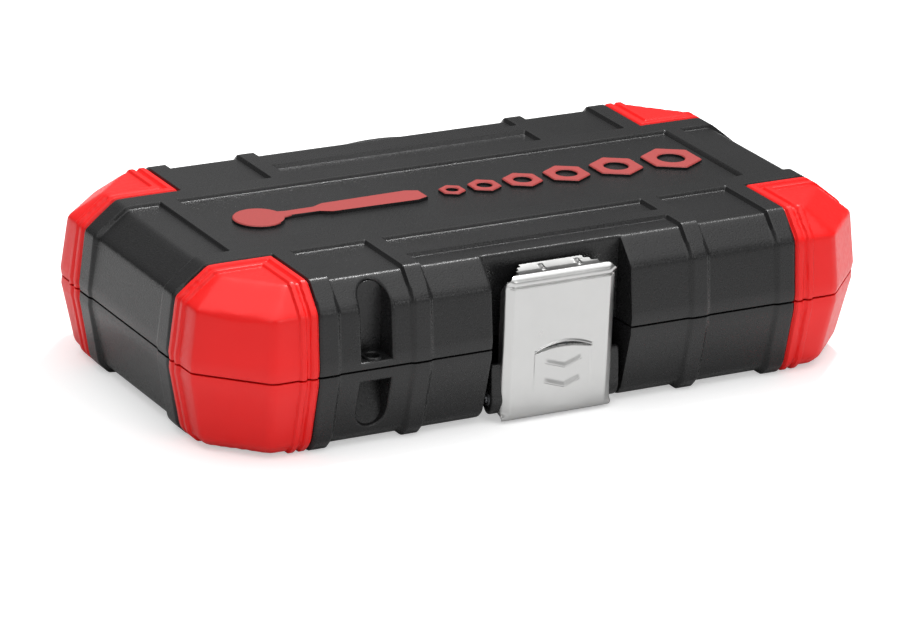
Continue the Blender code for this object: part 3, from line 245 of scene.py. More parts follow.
def shell_distance(points, form, rib_height, recess_y, sharpness):
    """Outer skin of half a case: panels, raised ribs, sunk corners and the latch recess.

    Points have z measured away from the parting plane, for lid and base alike.
    """
    wall_height = form[0]
    z = points[:, 2]
    on_slope = smooth_step((z - wall_height - 1) / 5)
    slope = 1.9 - 1.1 * on_slope
    raised = rib_height * rib_mask(points, slope) * (0.45 + 0.55 * np.clip(z / wall_height, 0, 1))
    raised = raised - 2.3 * under_guard(points) - parting_edge(z)
    skin = case_distance(points, case_planes(form), sharpness) - raised
    in_recess = -np.maximum(np.abs(points[:, 0]) - RECESS_HALF, points[:, 1] - recess_y)
    return soft_max(np.stack([skin, in_recess]), 2.6)


def guard_distance(points, form, ridge, sharpness):
    """Outer skin of a guard: the case's own facets, with two ridges along its free edges."""
    x, y = np.abs(points[:, 0]), np.abs(points[:, 1])
    inward = np.minimum(x - GUARD_X, y - GUARD_Y)
    ridges = np.maximum(plateau(inward, 0.5, 2.9, 0.7), plateau(inward, 4.4, 6.6, 0.7))
    z = points[:, 2]
    raised = 0.1 + 0.4 * np.clip(z / form[0], 0, 1) + ridge * ridges - parting_edge(z)
    return case_distance(points, case_planes(form), sharpness) - raised


def case_lines(form, settings, low_x=None, low_y=None):
    """Grid lines along x, y and z, close together beside every rib, slope and recess."""
    wall_height, lean, slope_height, run_x, run_y, _ = form
    marks_x = [*OUTER_RIB, *INNER_RIB, *CROSS_RIB, RECESS_HALF, GUARD_X + 1, GUARD_X + 4,
               GUARD_X + 7, SPAN_X - lean - run_x, SPAN_X - lean]
    marks_y = [*LONG_RIB, *SECOND_RIB, GUARD_Y + 1, GUARD_Y + 4, GUARD_Y + 7, -LID_RECESS_Y,
               SPAN_Y - lean - run_y, SPAN_Y - lean]
    marks_z = [wall_height, wall_height + slope_height]
    coarse, fine = settings.grid_coarse, settings.grid_fine
    start_x = -SPAN_X if low_x is None else low_x
    start_y = -SPAN_Y if low_y is None else low_y
    both_x = marks_x + [-mark for mark in marks_x]
    both_y = marks_y + [-mark for mark in marks_y]
    return (lines(start_x, SPAN_X, coarse, fine, both_x, 1.5),
            lines(start_y, SPAN_Y, coarse, fine, both_y, 1.3),
            lines(SKIN_START, wall_height + slope_height, coarse, fine * 1.5, marks_z, 1.5))


def box_sides(xs, ys, zs, ends=("low", "high")):
    """Point grids over the top and the walls of a block, as (points, rows, columns)."""
    def sheet(a, b, build):
        first, second = np.meshgrid(a, b, indexing="ij")
        return build(first.ravel(), second.ravel()), len(a), len(b)

    def stack(*columns):
        size = max(np.size(column) for column in columns)
        return np.stack([np.broadcast_to(column, size) for column in columns], axis=1)
    made = [sheet(xs, ys, lambda a, b: stack(a, b, zs[-1]))]
    for end in ends:
        at = 0 if end == "low" else -1
        made.append(sheet(xs, zs, lambda a, b, at=at: stack(a, ys[at], b)))
        made.append(sheet(ys, zs, lambda a, b, at=at: stack(xs[at], a, b)))
    return made


def perimeter(xs, ys):
    """Points once round the block at the parting plane, in order."""
    front = np.stack([xs[:-1], np.full(len(xs) - 1, ys[0])], axis=1)
    right = np.stack([np.full(len(ys) - 1, xs[-1]), ys[:-1]], axis=1)
    back = np.stack([xs[:0:-1], np.full(len(xs) - 1, ys[-1])], axis=1)
    left = np.stack([np.full(len(ys) - 1, xs[0]), ys[:0:-1]], axis=1)
    return np.concatenate([front, right, back, left])


def inner_ring(round_block, z, insets, recess_y, grow):
    """One level of the hollow: the case outline drawn in, kept clear of recess and slot."""
    half = math.sqrt(0.5)
    limits = (SPAN_X - insets[0], SPAN_Y - insets[1],
              (SPAN_X + SPAN_Y - CORNER_CUT) * half - insets[2])

    def distance(points):
        x, y = np.abs(points[:, 0]), np.abs(points[:, 1])
        wall = np.maximum.reduce([x - limits[0], y - limits[1], (x + y) * half - limits[2]])
        recess = -np.maximum(x - RECESS_HALF - SIDE_WALL - grow,
                             points[:, 1] - recess_y - SIDE_WALL / 2 - grow)
        slot = -np.maximum(np.abs(points[:, 0] - SLOT_X) - SLOT_HALF - 2.2 - grow,
                           points[:, 1] - SLOT_BACK_Y - 2.2 - grow)
        return np.maximum.reduce([wall, recess, slot])
    points = np.column_stack([round_block, np.full(len(round_block), z)])
    start = from_core(points, 0)
    start[:, 2] = z
    return leave_solid(start, points, distance)


def half_shell(form, rib_height, recess_y, rings, settings):
    """Points and faces of one moulded half: outer skin, flat rim, hollow and its floor."""
    xs, ys, zs = case_lines(form, settings)
    def distance(points):
        return shell_distance(points, form, rib_height, recess_y, settings.edge_sharpness)
    points, faces, total = [], [], 0
    for sheet, rows, columns in box_sides(xs, ys, zs):
        skin = leave_solid(from_core(sheet, 9.0), sheet, distance)
        points.append(skin)
        faces.append(grid_faces(rows, columns) + total)
        total += len(skin)
    block = perimeter(xs, ys)
    edge = np.column_stack([block, np.full(len(block), zs[0])])
    loops = [leave_solid(from_core(edge, 9.0), edge, distance)]
    loops += [inner_ring(block, *ring[:1], ring[1], recess_y, ring[2]) for ring in rings]
    points += loops
    faces.append(grid_faces(len(loops), len(block), wrap=True) + total)
    cap = np.arange(total + (len(loops) - 1) * len(block), total + len(loops) * len(block))
    return np.concatenate(points), faces, cap


# ---- pieces -------------------------------------------------------------------------------
def make_piece(name, points, faces, materials, body, stands_for=(), cap=None,
               flip=False, smooth=32, merge=0.02, shown=None):
    """An object whose vertices are in the frame, welded, facing out, riding on its body.

    Points are in millimetres from the datum, or from the frame's origin if shown is given.
    """
    points = np.asarray(points, dtype=float)
    if flip:
        points = points * np.array([1, 1, -1])
    place = DATUM if shown is None else shown
    listed = [face.tolist() for group in faces for face in group]
    if cap is not None:
        listed.append(cap.tolist())
    mesh = bpy.data.meshes.new(name)
    mesh.from_pydata(((points + place) * MM).tolist(), [], listed)
    shape = bmesh.new()
    shape.from_mesh(mesh)
    bmesh.ops.remove_doubles(shape, verts=shape.verts, dist=merge * MM)
    bmesh.ops.recalc_face_normals(shape, faces=shape.faces)
    shape.to_mesh(mesh)
    shape.free()
    return finish_piece(name, mesh, materials, body, stands_for, smooth)


def finish_piece(name, mesh, materials, body, stands_for=(), smooth=32):
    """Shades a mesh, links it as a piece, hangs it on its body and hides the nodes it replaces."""
    mesh.shade_smooth()
    mesh.set_sharp_from_angle(angle=math.radians(smooth))
    piece = bpy.data.objects.new(name, mesh)
    bpy.context.scene.collection.objects.link(piece)
    for material in materials if isinstance(materials, (list, tuple)) else [materials]:
        piece.data.materials.append(material)
    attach(piece, body)
    if stands_for:
        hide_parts(*stands_for)
    return piece


def bake_modifiers(piece):
    """Replaces the mesh with its modified one, so nothing stays live."""
    bpy.context.view_layer.update()
    graph = bpy.context.evaluated_depsgraph_get()
    made = bpy.data.meshes.new_from_object(piece.evaluated_get(graph))
    piece.modifiers.clear()
    piece.data = made
    return piece


def carve(piece, *cutters):
    """Cuts closed shapes out of a piece and removes them."""
    for cutter in cutters:
        step = piece.modifiers.new("carve", "BOOLEAN")
        step.operation = "DIFFERENCE"
        step.solver = "EXACT"
        step.object = cutter
    bake_modifiers(piece)
    piece.data.shade_smooth()
    piece.data.set_sharp_from_angle(angle=math.radians(32))
    for cutter in cutters:
        bpy.data.objects.remove(cutter, do_unlink=True)
    return piece


def cutter_object(name, points, faces, caps):
    """A closed helper shape from rings of points, in millimetres from the datum."""
    listed = [face.tolist() for group in faces for face in group] + [cap.tolist() for cap in caps]
    mesh = bpy.data.meshes.new(name)
    mesh.from_pydata(((np.asarray(points) + DATUM) * MM).tolist(), [], listed)
    shape = bmesh.new()
    shape.from_mesh(mesh)
    bmesh.ops.recalc_face_normals(shape, faces=shape.faces)
    shape.to_mesh(mesh)
    shape.free()
    made = bpy.data.objects.new(name, mesh)
    bpy.context.scene.collection.objects.link(made)
    return made


def ring_solid(rings):
    """Points, faces and end caps of a solid made of equal rings of points."""
    size = len(rings[0])
    points = np.concatenate(rings)
    caps = [np.arange(size)[::-1], np.arange(size) + size * (len(rings) - 1)]
    return points, [grid_faces(len(rings), size, wrap=True)], caps


# ---- materials ----------------------------------------------------------------------------
def linear(colour):
    """sRGB hex text or three sRGB numbers as a linear RGBA colour."""
    if isinstance(colour, str):
        colour = [int(colour[i:i + 2], 16) / 255 for i in (1, 3, 5)]
    made = [c / 12.92 if c <= 0.04045 else ((c + 0.055) / 1.055) ** 2.4 for c in colour]
    return (*made, 1.0)


def add(tree, kind, settings=(), links=()):
    """Adds a node: settings are (name or socket, value), links are (socket, output)."""
    node = tree.nodes.new(kind)
    for key, value in settings:
        if isinstance(key, str) and hasattr(node, key):
            setattr(node, key, value)
        else:
            node.inputs[key].default_value = value
    for key, output in links:
        tree.links.new(output, node.inputs[key])
    return node


def surface(name, colour, roughness, metallic=0.0, constants=()):
    """A material with a Principled shader whose constant values sit on its own sockets."""
    made = bpy.data.materials.new(name)
    made.use_nodes = True
    tree = made.node_tree
    shader = tree.nodes["Principled BSDF"]
    shader.inputs["Base Color"].default_value = linear(colour)
    shader.inputs["Roughness"].default_value = roughness
    shader.inputs["Metallic"].default_value = metallic
    for key, value in constants:
        shader.inputs[key].default_value = value
    place = add(tree, "ShaderNodeTexCoord").outputs["Object"]
    return made, tree, shader, place


def noise(tree, place, size_mm, detail=2.0, roughness=0.5):
    """Noise whose features are size_mm across."""
    return add(tree, "ShaderNodeTexNoise",
               [("Scale", 1 / (size_mm * MM)), ("Detail", detail), ("Roughness", roughness)],
               [("Vector", place)]).outputs["Fac"]


def bump(tree, shader, height, depth_mm, strength=1.0, under=None):
    """Bump of a real depth from a 0 to 1 height."""
    links = [("Height", height)]
    if under is not None:
        links.append(("Normal", under))
    node = add(tree, "ShaderNodeBump", [("Strength", strength), ("Distance", depth_mm * MM)], links)
    tree.links.new(node.outputs["Normal"], shader.inputs["Normal"])
    return node.outputs["Normal"]


def ramp(tree, value, low, high, out_low, out_high):
    """Value carried from one range to another, kept inside it."""
    return add(tree, "ShaderNodeMapRange",
               [("From Min", low), ("From Max", high), ("To Min", out_low), ("To Max", out_high)],
               [("Value", value)]).outputs["Result"]


def blend_colour(tree, shader, factor, first, second):
    """Base colour that moves between two sRGB colours."""
    node = add(tree, "ShaderNodeMix", [("data_type", "RGBA")])
    node.inputs[6].default_value = linear(first)
    node.inputs[7].default_value = linear(second)
    tree.links.new(factor, node.inputs[0])
    tree.links.new(node.outputs[2], shader.inputs["Base Color"])


def moulded_black(finish):
    """Injection-moulded polypropylene, spark-eroded: even dull black that sparkles at a low angle."""
    made, tree, shader, place = surface("moulded_black_polypropylene", finish.case_colour, 0.5,
                                        constants=[("Specular IOR Level", 0.38)])
    grain = noise(tree, place, 0.5, 2.0, 0.6)
    soft = noise(tree, place, 30.0, 2.0)
    tint = [c * 0.9 for c in finish.case_colour]
    blend_colour(tree, shader, ramp(tree, soft, 0.3, 0.7, 0, 1), tint,
                 [min(1, c * 1.08) for c in finish.case_colour])
    tree.links.new(ramp(tree, grain, 0.3, 0.7, 0.24, 0.36), shader.inputs["Roughness"])
    bump(tree, shader, grain, 0.10, 0.8)
    return made


def moulded_red(finish):
    """Moulded ABS in signal red: smooth satin with the faint orange peel of a polished tool."""
    made, tree, shader, place = surface("moulded_red_abs", finish.guard_colour, 0.36,
                                        constants=[("Specular IOR Level", 0.34)])
    peel = noise(tree, place, 1.6, 2.0)
    soft = noise(tree, place, 22.0, 2.0)
    blend_colour(tree, shader, ramp(tree, soft, 0.3, 0.7, 0, 1),
                 [c * 0.97 for c in finish.guard_colour], finish.guard_colour)
    tree.links.new(ramp(tree, peel, 0.3, 0.7, 0.32, 0.42), shader.inputs["Roughness"])
    bump(tree, shader, peel, 0.05, 0.25)
    return made


def printed_red(finish):
    """Pad-printed red on the raised emblem: flat, slightly dusty."""
    made, tree, shader, place = surface("printed_dull_red", finish.emblem_colour, 0.55)
    grain = noise(tree, place, 0.55, 3.0)
    blend_colour(tree, shader, ramp(tree, grain, 0.3, 0.7, 0, 1),
                 [c * 0.94 for c in finish.emblem_colour], finish.emblem_colour)
    bump(tree, shader, grain, 0.10, 0.35)
    return made


def plated_sheet():
    """Zinc-nickel plated sheet steel, tumbled: pale satin with soft brushing along its length, and
    a painted shade on the hook's tab: its colour is darkened there to hold down the overhead highlight."""
    made, tree, shader, place = surface("plated_sheet_steel", "#C2C2C1", 0.30, 1.0)
    stretched = add(tree, "ShaderNodeMapping", [("Scale", (1.0, 1.0, 0.12))],
                    [("Vector", place)]).outputs["Vector"]
    streak = noise(tree, stretched, 0.5, 3.0)
    cloud = noise(tree, place, 14.0, 3.0)
    tree.links.new(ramp(tree, cloud, 0.3, 0.7, 0.27, 0.36), shader.inputs["Roughness"])
    height = add(tree, "ShaderNodeSeparateXYZ", [], [("Vector", place)]).outputs["Z"]
    # Painted shade: from the bend into the hook's tab upward, the colour drops to #848483 to damp the
    # tab's overhead highlight.
    tab = ramp(tree, height, (DATUM[2] + 22.2) * MM, (DATUM[2] + 22.7) * MM, 1, 0)
    pale = add(tree, "ShaderNodeMath", [("operation", "MULTIPLY_ADD"), (1, 0.1), (2, 0.9)],
               [(0, ramp(tree, cloud, 0.35, 0.65, 0, 1))]).outputs["Value"]
    share = add(tree, "ShaderNodeMath", [("operation", "MULTIPLY")], [(0, tab), (1, pale)])
    # 848483 is the painted shade on the tab; #C6C6C5 is the plate's own colour, with a little random
    # tone from the cloud.
    blend_colour(tree, shader, share.outputs["Value"], "#848483", "#C6C6C5")
    bump(tree, shader, streak, 0.02, 0.2)
    return made


# ---- case pieces ---------------------------------------------------------------------------
LID_RINGS = ((SKIN_START, (5.0, 5.0, 5.0), 0.0), (2.0, (5.0, 5.0, 5.0), 0.0),
             (18.5, (7.7, 7.7, 7.7), 0.0), (25.8, (15.2, 12.8, 17.5), 0.0))
# The base's hollow, with its standing tongue; z is measured down, so the tongue is negative.
BASE_RINGS = ((SKIN_START, (5.4, 5.4, 5.4), 0.0), (-2.0, (5.5, 5.5, 5.5), 0.0),
              (-2.0, (6.9, 6.9, 6.9), 1.4), (23.3, (11.2, 11.2, 11.2), 1.4))


def arch_outline(half, floor, top, offset, count=14):
    """A slot's outline in (x, z): flat floor, straight sides, half-round top, grown by offset."""
    middle = top - half
    angle = np.linspace(0, math.pi, count)
    round_x = np.cos(angle) * (half + offset)
    round_z = middle + np.sin(angle) * (half + offset)
    sides = np.linspace(floor - offset, middle, 8)[:-1]
    bottom = np.linspace(-half - offset, half + offset, 6)[1:-1]
    x = np.concatenate([np.full(7, half + offset), round_x, np.full(7, -half - offset), bottom])
    z = np.concatenate([sides, round_z, sides[::-1], np.full(4, floor - offset)])
    return x, z


def wall_y(z, form):
    """Front wall's y at a height: first the leaning wall, then the slope."""
    wall_height, lean, slope_height, _, run, _ = form
    wall = SPAN_Y - lean * z / wall_height
    slope = SPAN_Y - lean - (z - wall_height) * run / slope_height
    return -np.where(z < wall_height, wall, slope)


def slot_cutter(name, form, floor, top, lip, back_low, back_high, flip):
    """Pocket with a rounded lip: rings that narrow by a quarter circle, then run to the back."""
    rings = []
    for turn, out in [(0, 4.0)] + [(angle, 0.0) for angle in np.linspace(0, 90, 5)]:
        inward = lip * (1 - math.cos(math.radians(turn)))
        offset = lip * (1 - math.sin(math.radians(turn)))
        x, z = arch_outline(SLOT_HALF, floor, top, offset)
        rings.append(np.column_stack([x + SLOT_X, wall_y(z, form) + inward - out, z]))
    x, z = arch_outline(SLOT_HALF, floor, top, -0.2)
    part = (z - floor) / (top - floor)
    rings.append(np.column_stack([x + SLOT_X, back_low + (back_high - back_low) * part, z]))
    points, faces, caps = ring_solid(rings)
    if flip:
        points = points * np.array([1, 1, -1])
    return cutter_object(name, points, faces, caps)


def round_cutter(name, radius, at, low, high):
    """Upright cylinder."""
    angle = np.linspace(0, 2 * math.pi, 32, endpoint=False)
    circle = np.column_stack([at[0] + radius * np.cos(angle), at[1] + radius * np.sin(angle)])
    rings = [np.column_stack([circle, np.full(32, z)]) for z in (low, high)]
    return cutter_object(name, *ring_solid(rings))


class SOCKETSET_OT_lid(bpy.types.Operator):
    """Moulded lid with its ribs, latch recess and padlock slot"""
    bl_idname = "socketset.lid"
    bl_label = "Lid shell"

    def execute(self, context):
        settings = context.scene.case_settings
        black = moulded_black(context.scene.finish_settings)
        points, faces, cap = half_shell(LID_FORM, LID_RIB_HEIGHT, LID_RECESS_Y, LID_RINGS, settings)
        lid = make_piece("lid_shell_moulded", points, faces, black, "lid", ("lid_shell",),
                         cap)
        slot = slot_cutter("slot", LID_FORM, 2.6, 26.6, 1.1, SLOT_BACK_Y, SLOT_BACK_Y, False)
        hole = round_cutter("lock_hole", 2.4, (SLOT_X, -63.5), -2.0, 4.0)
        carve(lid, slot, hole)
        rows = [(2.5, 2.45), (3.1, 2.45), (3.35, 2.65), (3.4, 2.9), (3.35, 3.15), (3.1, 3.35),
                (2.5, 3.4), (2.5, 2.45)]
        points, faces = lathe([(*row, "round") for row in rows],
                              np.linspace(0, 2 * math.pi, 48, endpoint=False), SECTIONS)
        make_piece("lock_hole_collar", points + np.array([SLOT_X, -63.5, 0]), faces, black, "lid",
                   merge=0.001, smooth=50)
        return {"FINISHED"}


class SOCKETSET_OT_base(bpy.types.Operator):
    """Moulded base with its ribs, feet, tongue and latch recess"""
    bl_idname = "socketset.base"
    bl_label = "Base shell"

    def execute(self, context):
        settings = context.scene.case_settings
        black = moulded_black(context.scene.finish_settings)
        points, faces, cap = half_shell(BASE_FORM, BASE_RIB_HEIGHT, BASE_RECESS_Y, BASE_RINGS,
                                        settings)
        base = make_piece("base_shell_moulded", points, faces, black, "base", ("base_shell",),
                          cap, flip=True)
        slot = slot_cutter("slot", BASE_FORM, 4.2, 20.5, 0.9, SLOT_BACK_Y + 1, -62.0, True)
        hole = round_cutter("lock_hole", 2.4, (SLOT_X, -63.5), -6.0, 2.0)
        carve(base, slot, hole)
        return {"FINISHED"}


def guard_shell(form, sign_x, sign_y, settings):
    """One guard: its outer skin, an inner skin under it, and the strips between their edges."""
    xs, ys, zs = case_lines(form, settings, GUARD_X, GUARD_Y)
    points, faces, total = [], [], 0
    sheets = box_sides(xs, ys, zs, ends=("high",))
    skins = []
    for raise_by in (0.0, -2.0):
        def distance(p, raise_by=raise_by):
            outer = guard_distance(p, form, settings.guard_ridge, settings.edge_sharpness)
            inner = case_distance(p, case_planes(form), settings.edge_sharpness)
            return outer if raise_by == 0 else inner - raise_by
        skins.append([leave_solid(from_core(sheet, 9.0), sheet, distance)
                      for sheet, _, _ in sheets])
    for skin in skins:
        for grid, (_, rows, columns) in zip(skin, sheets):
            points.append(grid)
            faces.append(grid_faces(rows, columns) + total)
            total += len(grid)
    for outer, inner, (_, rows, columns), edges in zip(
            skins[0], skins[1], sheets, (("x0", "y0"), ("x0", "z0"), ("x0", "z0"))):
        for edge in edges:
            pick = (np.arange(columns) if edge == "x0" else np.arange(rows) * columns)
            points += [outer[pick], inner[pick]]
            faces.append(grid_faces(2, len(pick)) + total)
            total += 2 * len(pick)
    return np.concatenate(points) * np.array([sign_x, sign_y, 1]), faces


class SOCKETSET_OT_guards(bpy.types.Operator):
    """Eight red corner guards, four on the lid and four on the base"""
    bl_idname = "socketset.guards"
    bl_label = "Corner guards"

    def execute(self, context):
        settings = context.scene.case_settings
        red = moulded_red(context.scene.finish_settings)
        for half, form in (("lid", LID_FORM), ("base", BASE_FORM)):
            for y_name, sign_y in (("front", -1), ("back", 1)):
                for x_name, sign_x in (("left", -1), ("right", 1)):
                    node = f"{half}_guard_{y_name}_{x_name}"
                    points, faces = guard_shell(form, sign_x, sign_y, settings)
                    make_piece(f"{node}_moulded", points, faces, red, half, (node,),
                               flip=half == "base")
        return {"FINISHED"}


# ---- hinge ----------------------------------------------------------------------------------
PIN_LOW, PIN_HIGH = (corner - DATUM for corner in frame_box("hinge_pin"))
HINGE_Y = (PIN_LOW[1] + PIN_HIGH[1]) / 2
HINGE_Z = (PIN_LOW[2] + PIN_HIGH[2]) / 2
BARREL_R = 4.2
LID_KNUCKLE_HALF = 10.0
BASE_KNUCKLE = (10.3, 22.0)
HOUSING_HALF = 22.6


def rounded_ends(half, radius, count):
    """Stations along x and how far each is drawn in: a quarter round at both ends."""
    angle = np.linspace(0, math.pi / 2, count)
    x = half - radius * (1 - np.sin(angle))
    inset = radius * (1 - np.cos(angle))
    return np.concatenate([-x[::-1], x]), np.concatenate([inset[::-1], inset])


def resample(outline, count):
    """A closed outline's points at even distances along it."""
    closed = np.vstack([outline, outline[:1]])
    length = np.concatenate([[0], np.cumsum(np.linalg.norm(np.diff(closed, axis=0), axis=1))])
    at = np.linspace(0, length[-1], count, endpoint=False)
    return np.stack([np.interp(at, length, closed[:, axis]) for axis in (0, 1)], axis=1)


def smooth_outline(outline, count, rounds):
    """A closed outline resampled and relaxed, which rounds its corners."""
    points = resample(np.asarray(outline, dtype=float), count)
    for _ in range(rounds):
        points = (np.roll(points, 1, axis=0) + 2 * points + np.roll(points, -1, axis=0)) / 4
    return points


def loft_along_x(outline, stations, insets, middle):
    """A (y, z) outline carried along x, shrunk towards its middle by an inset at each station."""
    middle = np.asarray(middle)
    away = outline - middle
    size = np.linalg.norm(away, axis=1, keepdims=True)
    rings = []
    for x, inset in zip(stations, insets):
        ring = middle + away * np.clip(1 - inset / size, 0, 1)
        rings.append(np.column_stack([np.full(len(ring), x), ring]))
    return ring_solid(rings)


class SOCKETSET_OT_hinge(bpy.types.Operator):
    """Housing on the lid's back, its top an ellipse at both ends, and the knuckles"""
    bl_idname = "socketset.hinge"
    bl_label = "Hinge"

    def execute(self, context):
        black = moulded_black(context.scene.finish_settings)
        back = HINGE_Y + BARREL_R
        profile = [(SPAN_Y - 5, 5.2), (back, 5.2), (back - 0.8, 12.0), (SPAN_Y + 1, 21.5),
                   (SPAN_Y - 5, 26.8), (SPAN_Y - 14, 26.8), (SPAN_Y - 14, 20.0)]
        ends, insets = rounded_ends(HOUSING_HALF, 1.0, 6)
        stations = np.concatenate([ends[:6], np.linspace(ends[5], ends[6], 60)[1:-1], ends[6:]])
        points, faces, caps = loft_along_x(smooth_outline(profile, 140, 10), stations,
                                           np.interp(stations, ends, insets), (SPAN_Y - 4, 15))
        at_end = np.clip((np.abs(points[:, 0]) - HOUSING_HALF + 22) / 22, 0, 1)
        fall = 1 - 0.24 * (1 - np.sqrt(1 - at_end ** 2))
        points[:, 2] = 5.2 + (points[:, 2] - 5.2) * fall
        make_piece("hinge_housing", points, faces + [np.array([cap]) for cap in caps], black,
                   "lid")
        circle = np.linspace(0, 2 * math.pi, 48, endpoint=False)
        for name, low, high, foot, body in (
                ("lid_knuckle", -LID_KNUCKLE_HALF, LID_KNUCKLE_HALF, 6.2, "lid"),
                ("base_knuckle_left", -BASE_KNUCKLE[1], -BASE_KNUCKLE[0], -BARREL_R, "base"),
                ("base_knuckle_right", *BASE_KNUCKLE, -BARREL_R, "base")):
            angle = circle if foot < 0 else -circle
            y, z = np.cos(angle) * BARREL_R, np.sin(angle) * BARREL_R
            y = np.where((y < 0) & (z * foot > 0), y - 6, y)
            outline = np.column_stack([y + HINGE_Y, z + HINGE_Z])
            half = (high - low) / 2
            stations, insets = rounded_ends(half, 0.5, 4)
            points, faces, caps = loft_along_x(outline, stations + (low + high) / 2, insets,
                                               (HINGE_Y, HINGE_Z))
            make_piece(name, points, faces + [np.array([cap]) for cap in caps], black, body)
        return {"FINISHED"}


# ---- latch ----------------------------------------------------------------------------------
PLATE_LOW, PLATE_HIGH = (corner - DATUM for corner in frame_box("latch_plate"))
PLATE_HALF = (PLATE_HIGH[0] - PLATE_LOW[0]) / 2
PLATE_FACE_Y = PLATE_LOW[1]
SHEET = 1.0


def bell(distance, width):
    """A smooth hump: 1 on the line, 0 beyond its width."""
    return smooth_step(1 - np.abs(distance) / width)


def plate_relief(x, z):
    """How far the plate's face stands out: a crescent pressed in under a sharp lip, a shallow
    thumb field below it, and two chevrons. Crescent: z = c - a u^2 with u = (x - m) / half."""
    u = (x - 1.2) / 10.8
    upper = -1.6 - 2.7 * u ** 2
    lower = upper - 1.75 * np.sqrt(np.clip(1 - u ** 2, 0, 1))
    within = smooth_step((1 - np.abs(u)) * 12)
    slit = within * smooth_step((upper - z) / 0.35) * smooth_step((z - lower) / 0.45)
    lip = 0.35 * within * bell(z - upper - 0.35, 0.6)
    field = within * smooth_step((upper - z) / 0.6) * smooth_step((z + 19.0) / 11.0)
    chevrons = 0.0
    for foot, ends in ((-10.6, (-6.2, 8.7)), (-17.2, (-6.4, 8.2))):
        line = foot + 0.33 * np.abs(x - 1.9)
        inside = smooth_step((x - ends[0]) / 2.5) * smooth_step((ends[1] - x) / 1.5)
        chevrons = chevrons + inside * 0.36 * smooth_step((z - line) / 0.25) * smooth_step(
            1 - (z - line) / 2.3)
    return lip - 1.0 * slit - 0.35 * field + chevrons


def tab_relief(x, along):
    """Two darts pressed up in the tab, each z = h (1 - |x - m| / w) along its length."""
    darts = sum(bell(x - middle, 1.1) for middle in (-5.3, 7.9))
    return 0.55 * darts * smooth_step((along - 0.12) / 0.15) * smooth_step((0.85 - along) / 0.2)


def hook_path(count):
    """(s, y, z) down the plate's middle, the mid line of the sheet's bends.

    The line runs up the face, round the roll by a circle, and out along the tab. Its points lie
    closest over the relief and the roll."""
    face = PLATE_FACE_Y
    turn = np.radians(np.linspace(180, 84, 13))
    roll = np.column_stack([face + 2.2 + 2.2 * np.cos(turn), 20.2 + 2.2 * np.sin(turn)])
    bend = np.radians(np.linspace(270, 180, 9))
    foot = np.column_stack([face + 2.0 + 2.0 * np.cos(bend), -24.4 + 2.0 * np.sin(bend)])
    rise = np.column_stack([np.full(2, face), (-20.0, 16.0)])
    tab = [(face + 4.2, 22.75), (face + 7.4, 23.9)]
    corners = np.concatenate([foot, rise, roll, tab])
    length = np.concatenate([[0], np.cumsum(np.linalg.norm(np.diff(corners, axis=0), axis=1))])
    s = np.interp(np.linspace(0, 1, count), [0, 0.07, 0.6, 0.68, 1], [0, 7, 29.5, 43, length[-1]])
    y, z = (np.interp(s, length, corners[:, axis]) for axis in (0, 1))
    for _ in range(3):
        y[1:-1] = (y[:-2] + 2 * y[1:-1] + y[2:]) / 4
        z[1:-1] = (z[:-2] + 2 * z[1:-1] + z[2:]) / 4
    return s, y, z


def plate_section(across):
    """Cross-section by arc length q: flat, a crisp fold to 30 degrees, a sloping band and a round
    turn to 90 degrees. x and the depth are the integrals of cos(t) and sin(t) for the turn t(q)."""
    q = np.linspace(0, 40, 4001)
    turn = 30 * smooth_step((q - 17.0) / 0.7) + 60 * smooth_step((q - 19.6) / 1.8)
    x = np.cumsum(np.cos(np.radians(turn))) * 0.01
    back = np.cumsum(np.sin(np.radians(turn))) * 0.01
    x *= PLATE_HALF / x[2200]
    size = np.abs(across)
    return np.sign(across) * np.interp(size, q, np.minimum(x, PLATE_HALF)), np.interp(size, q, back)


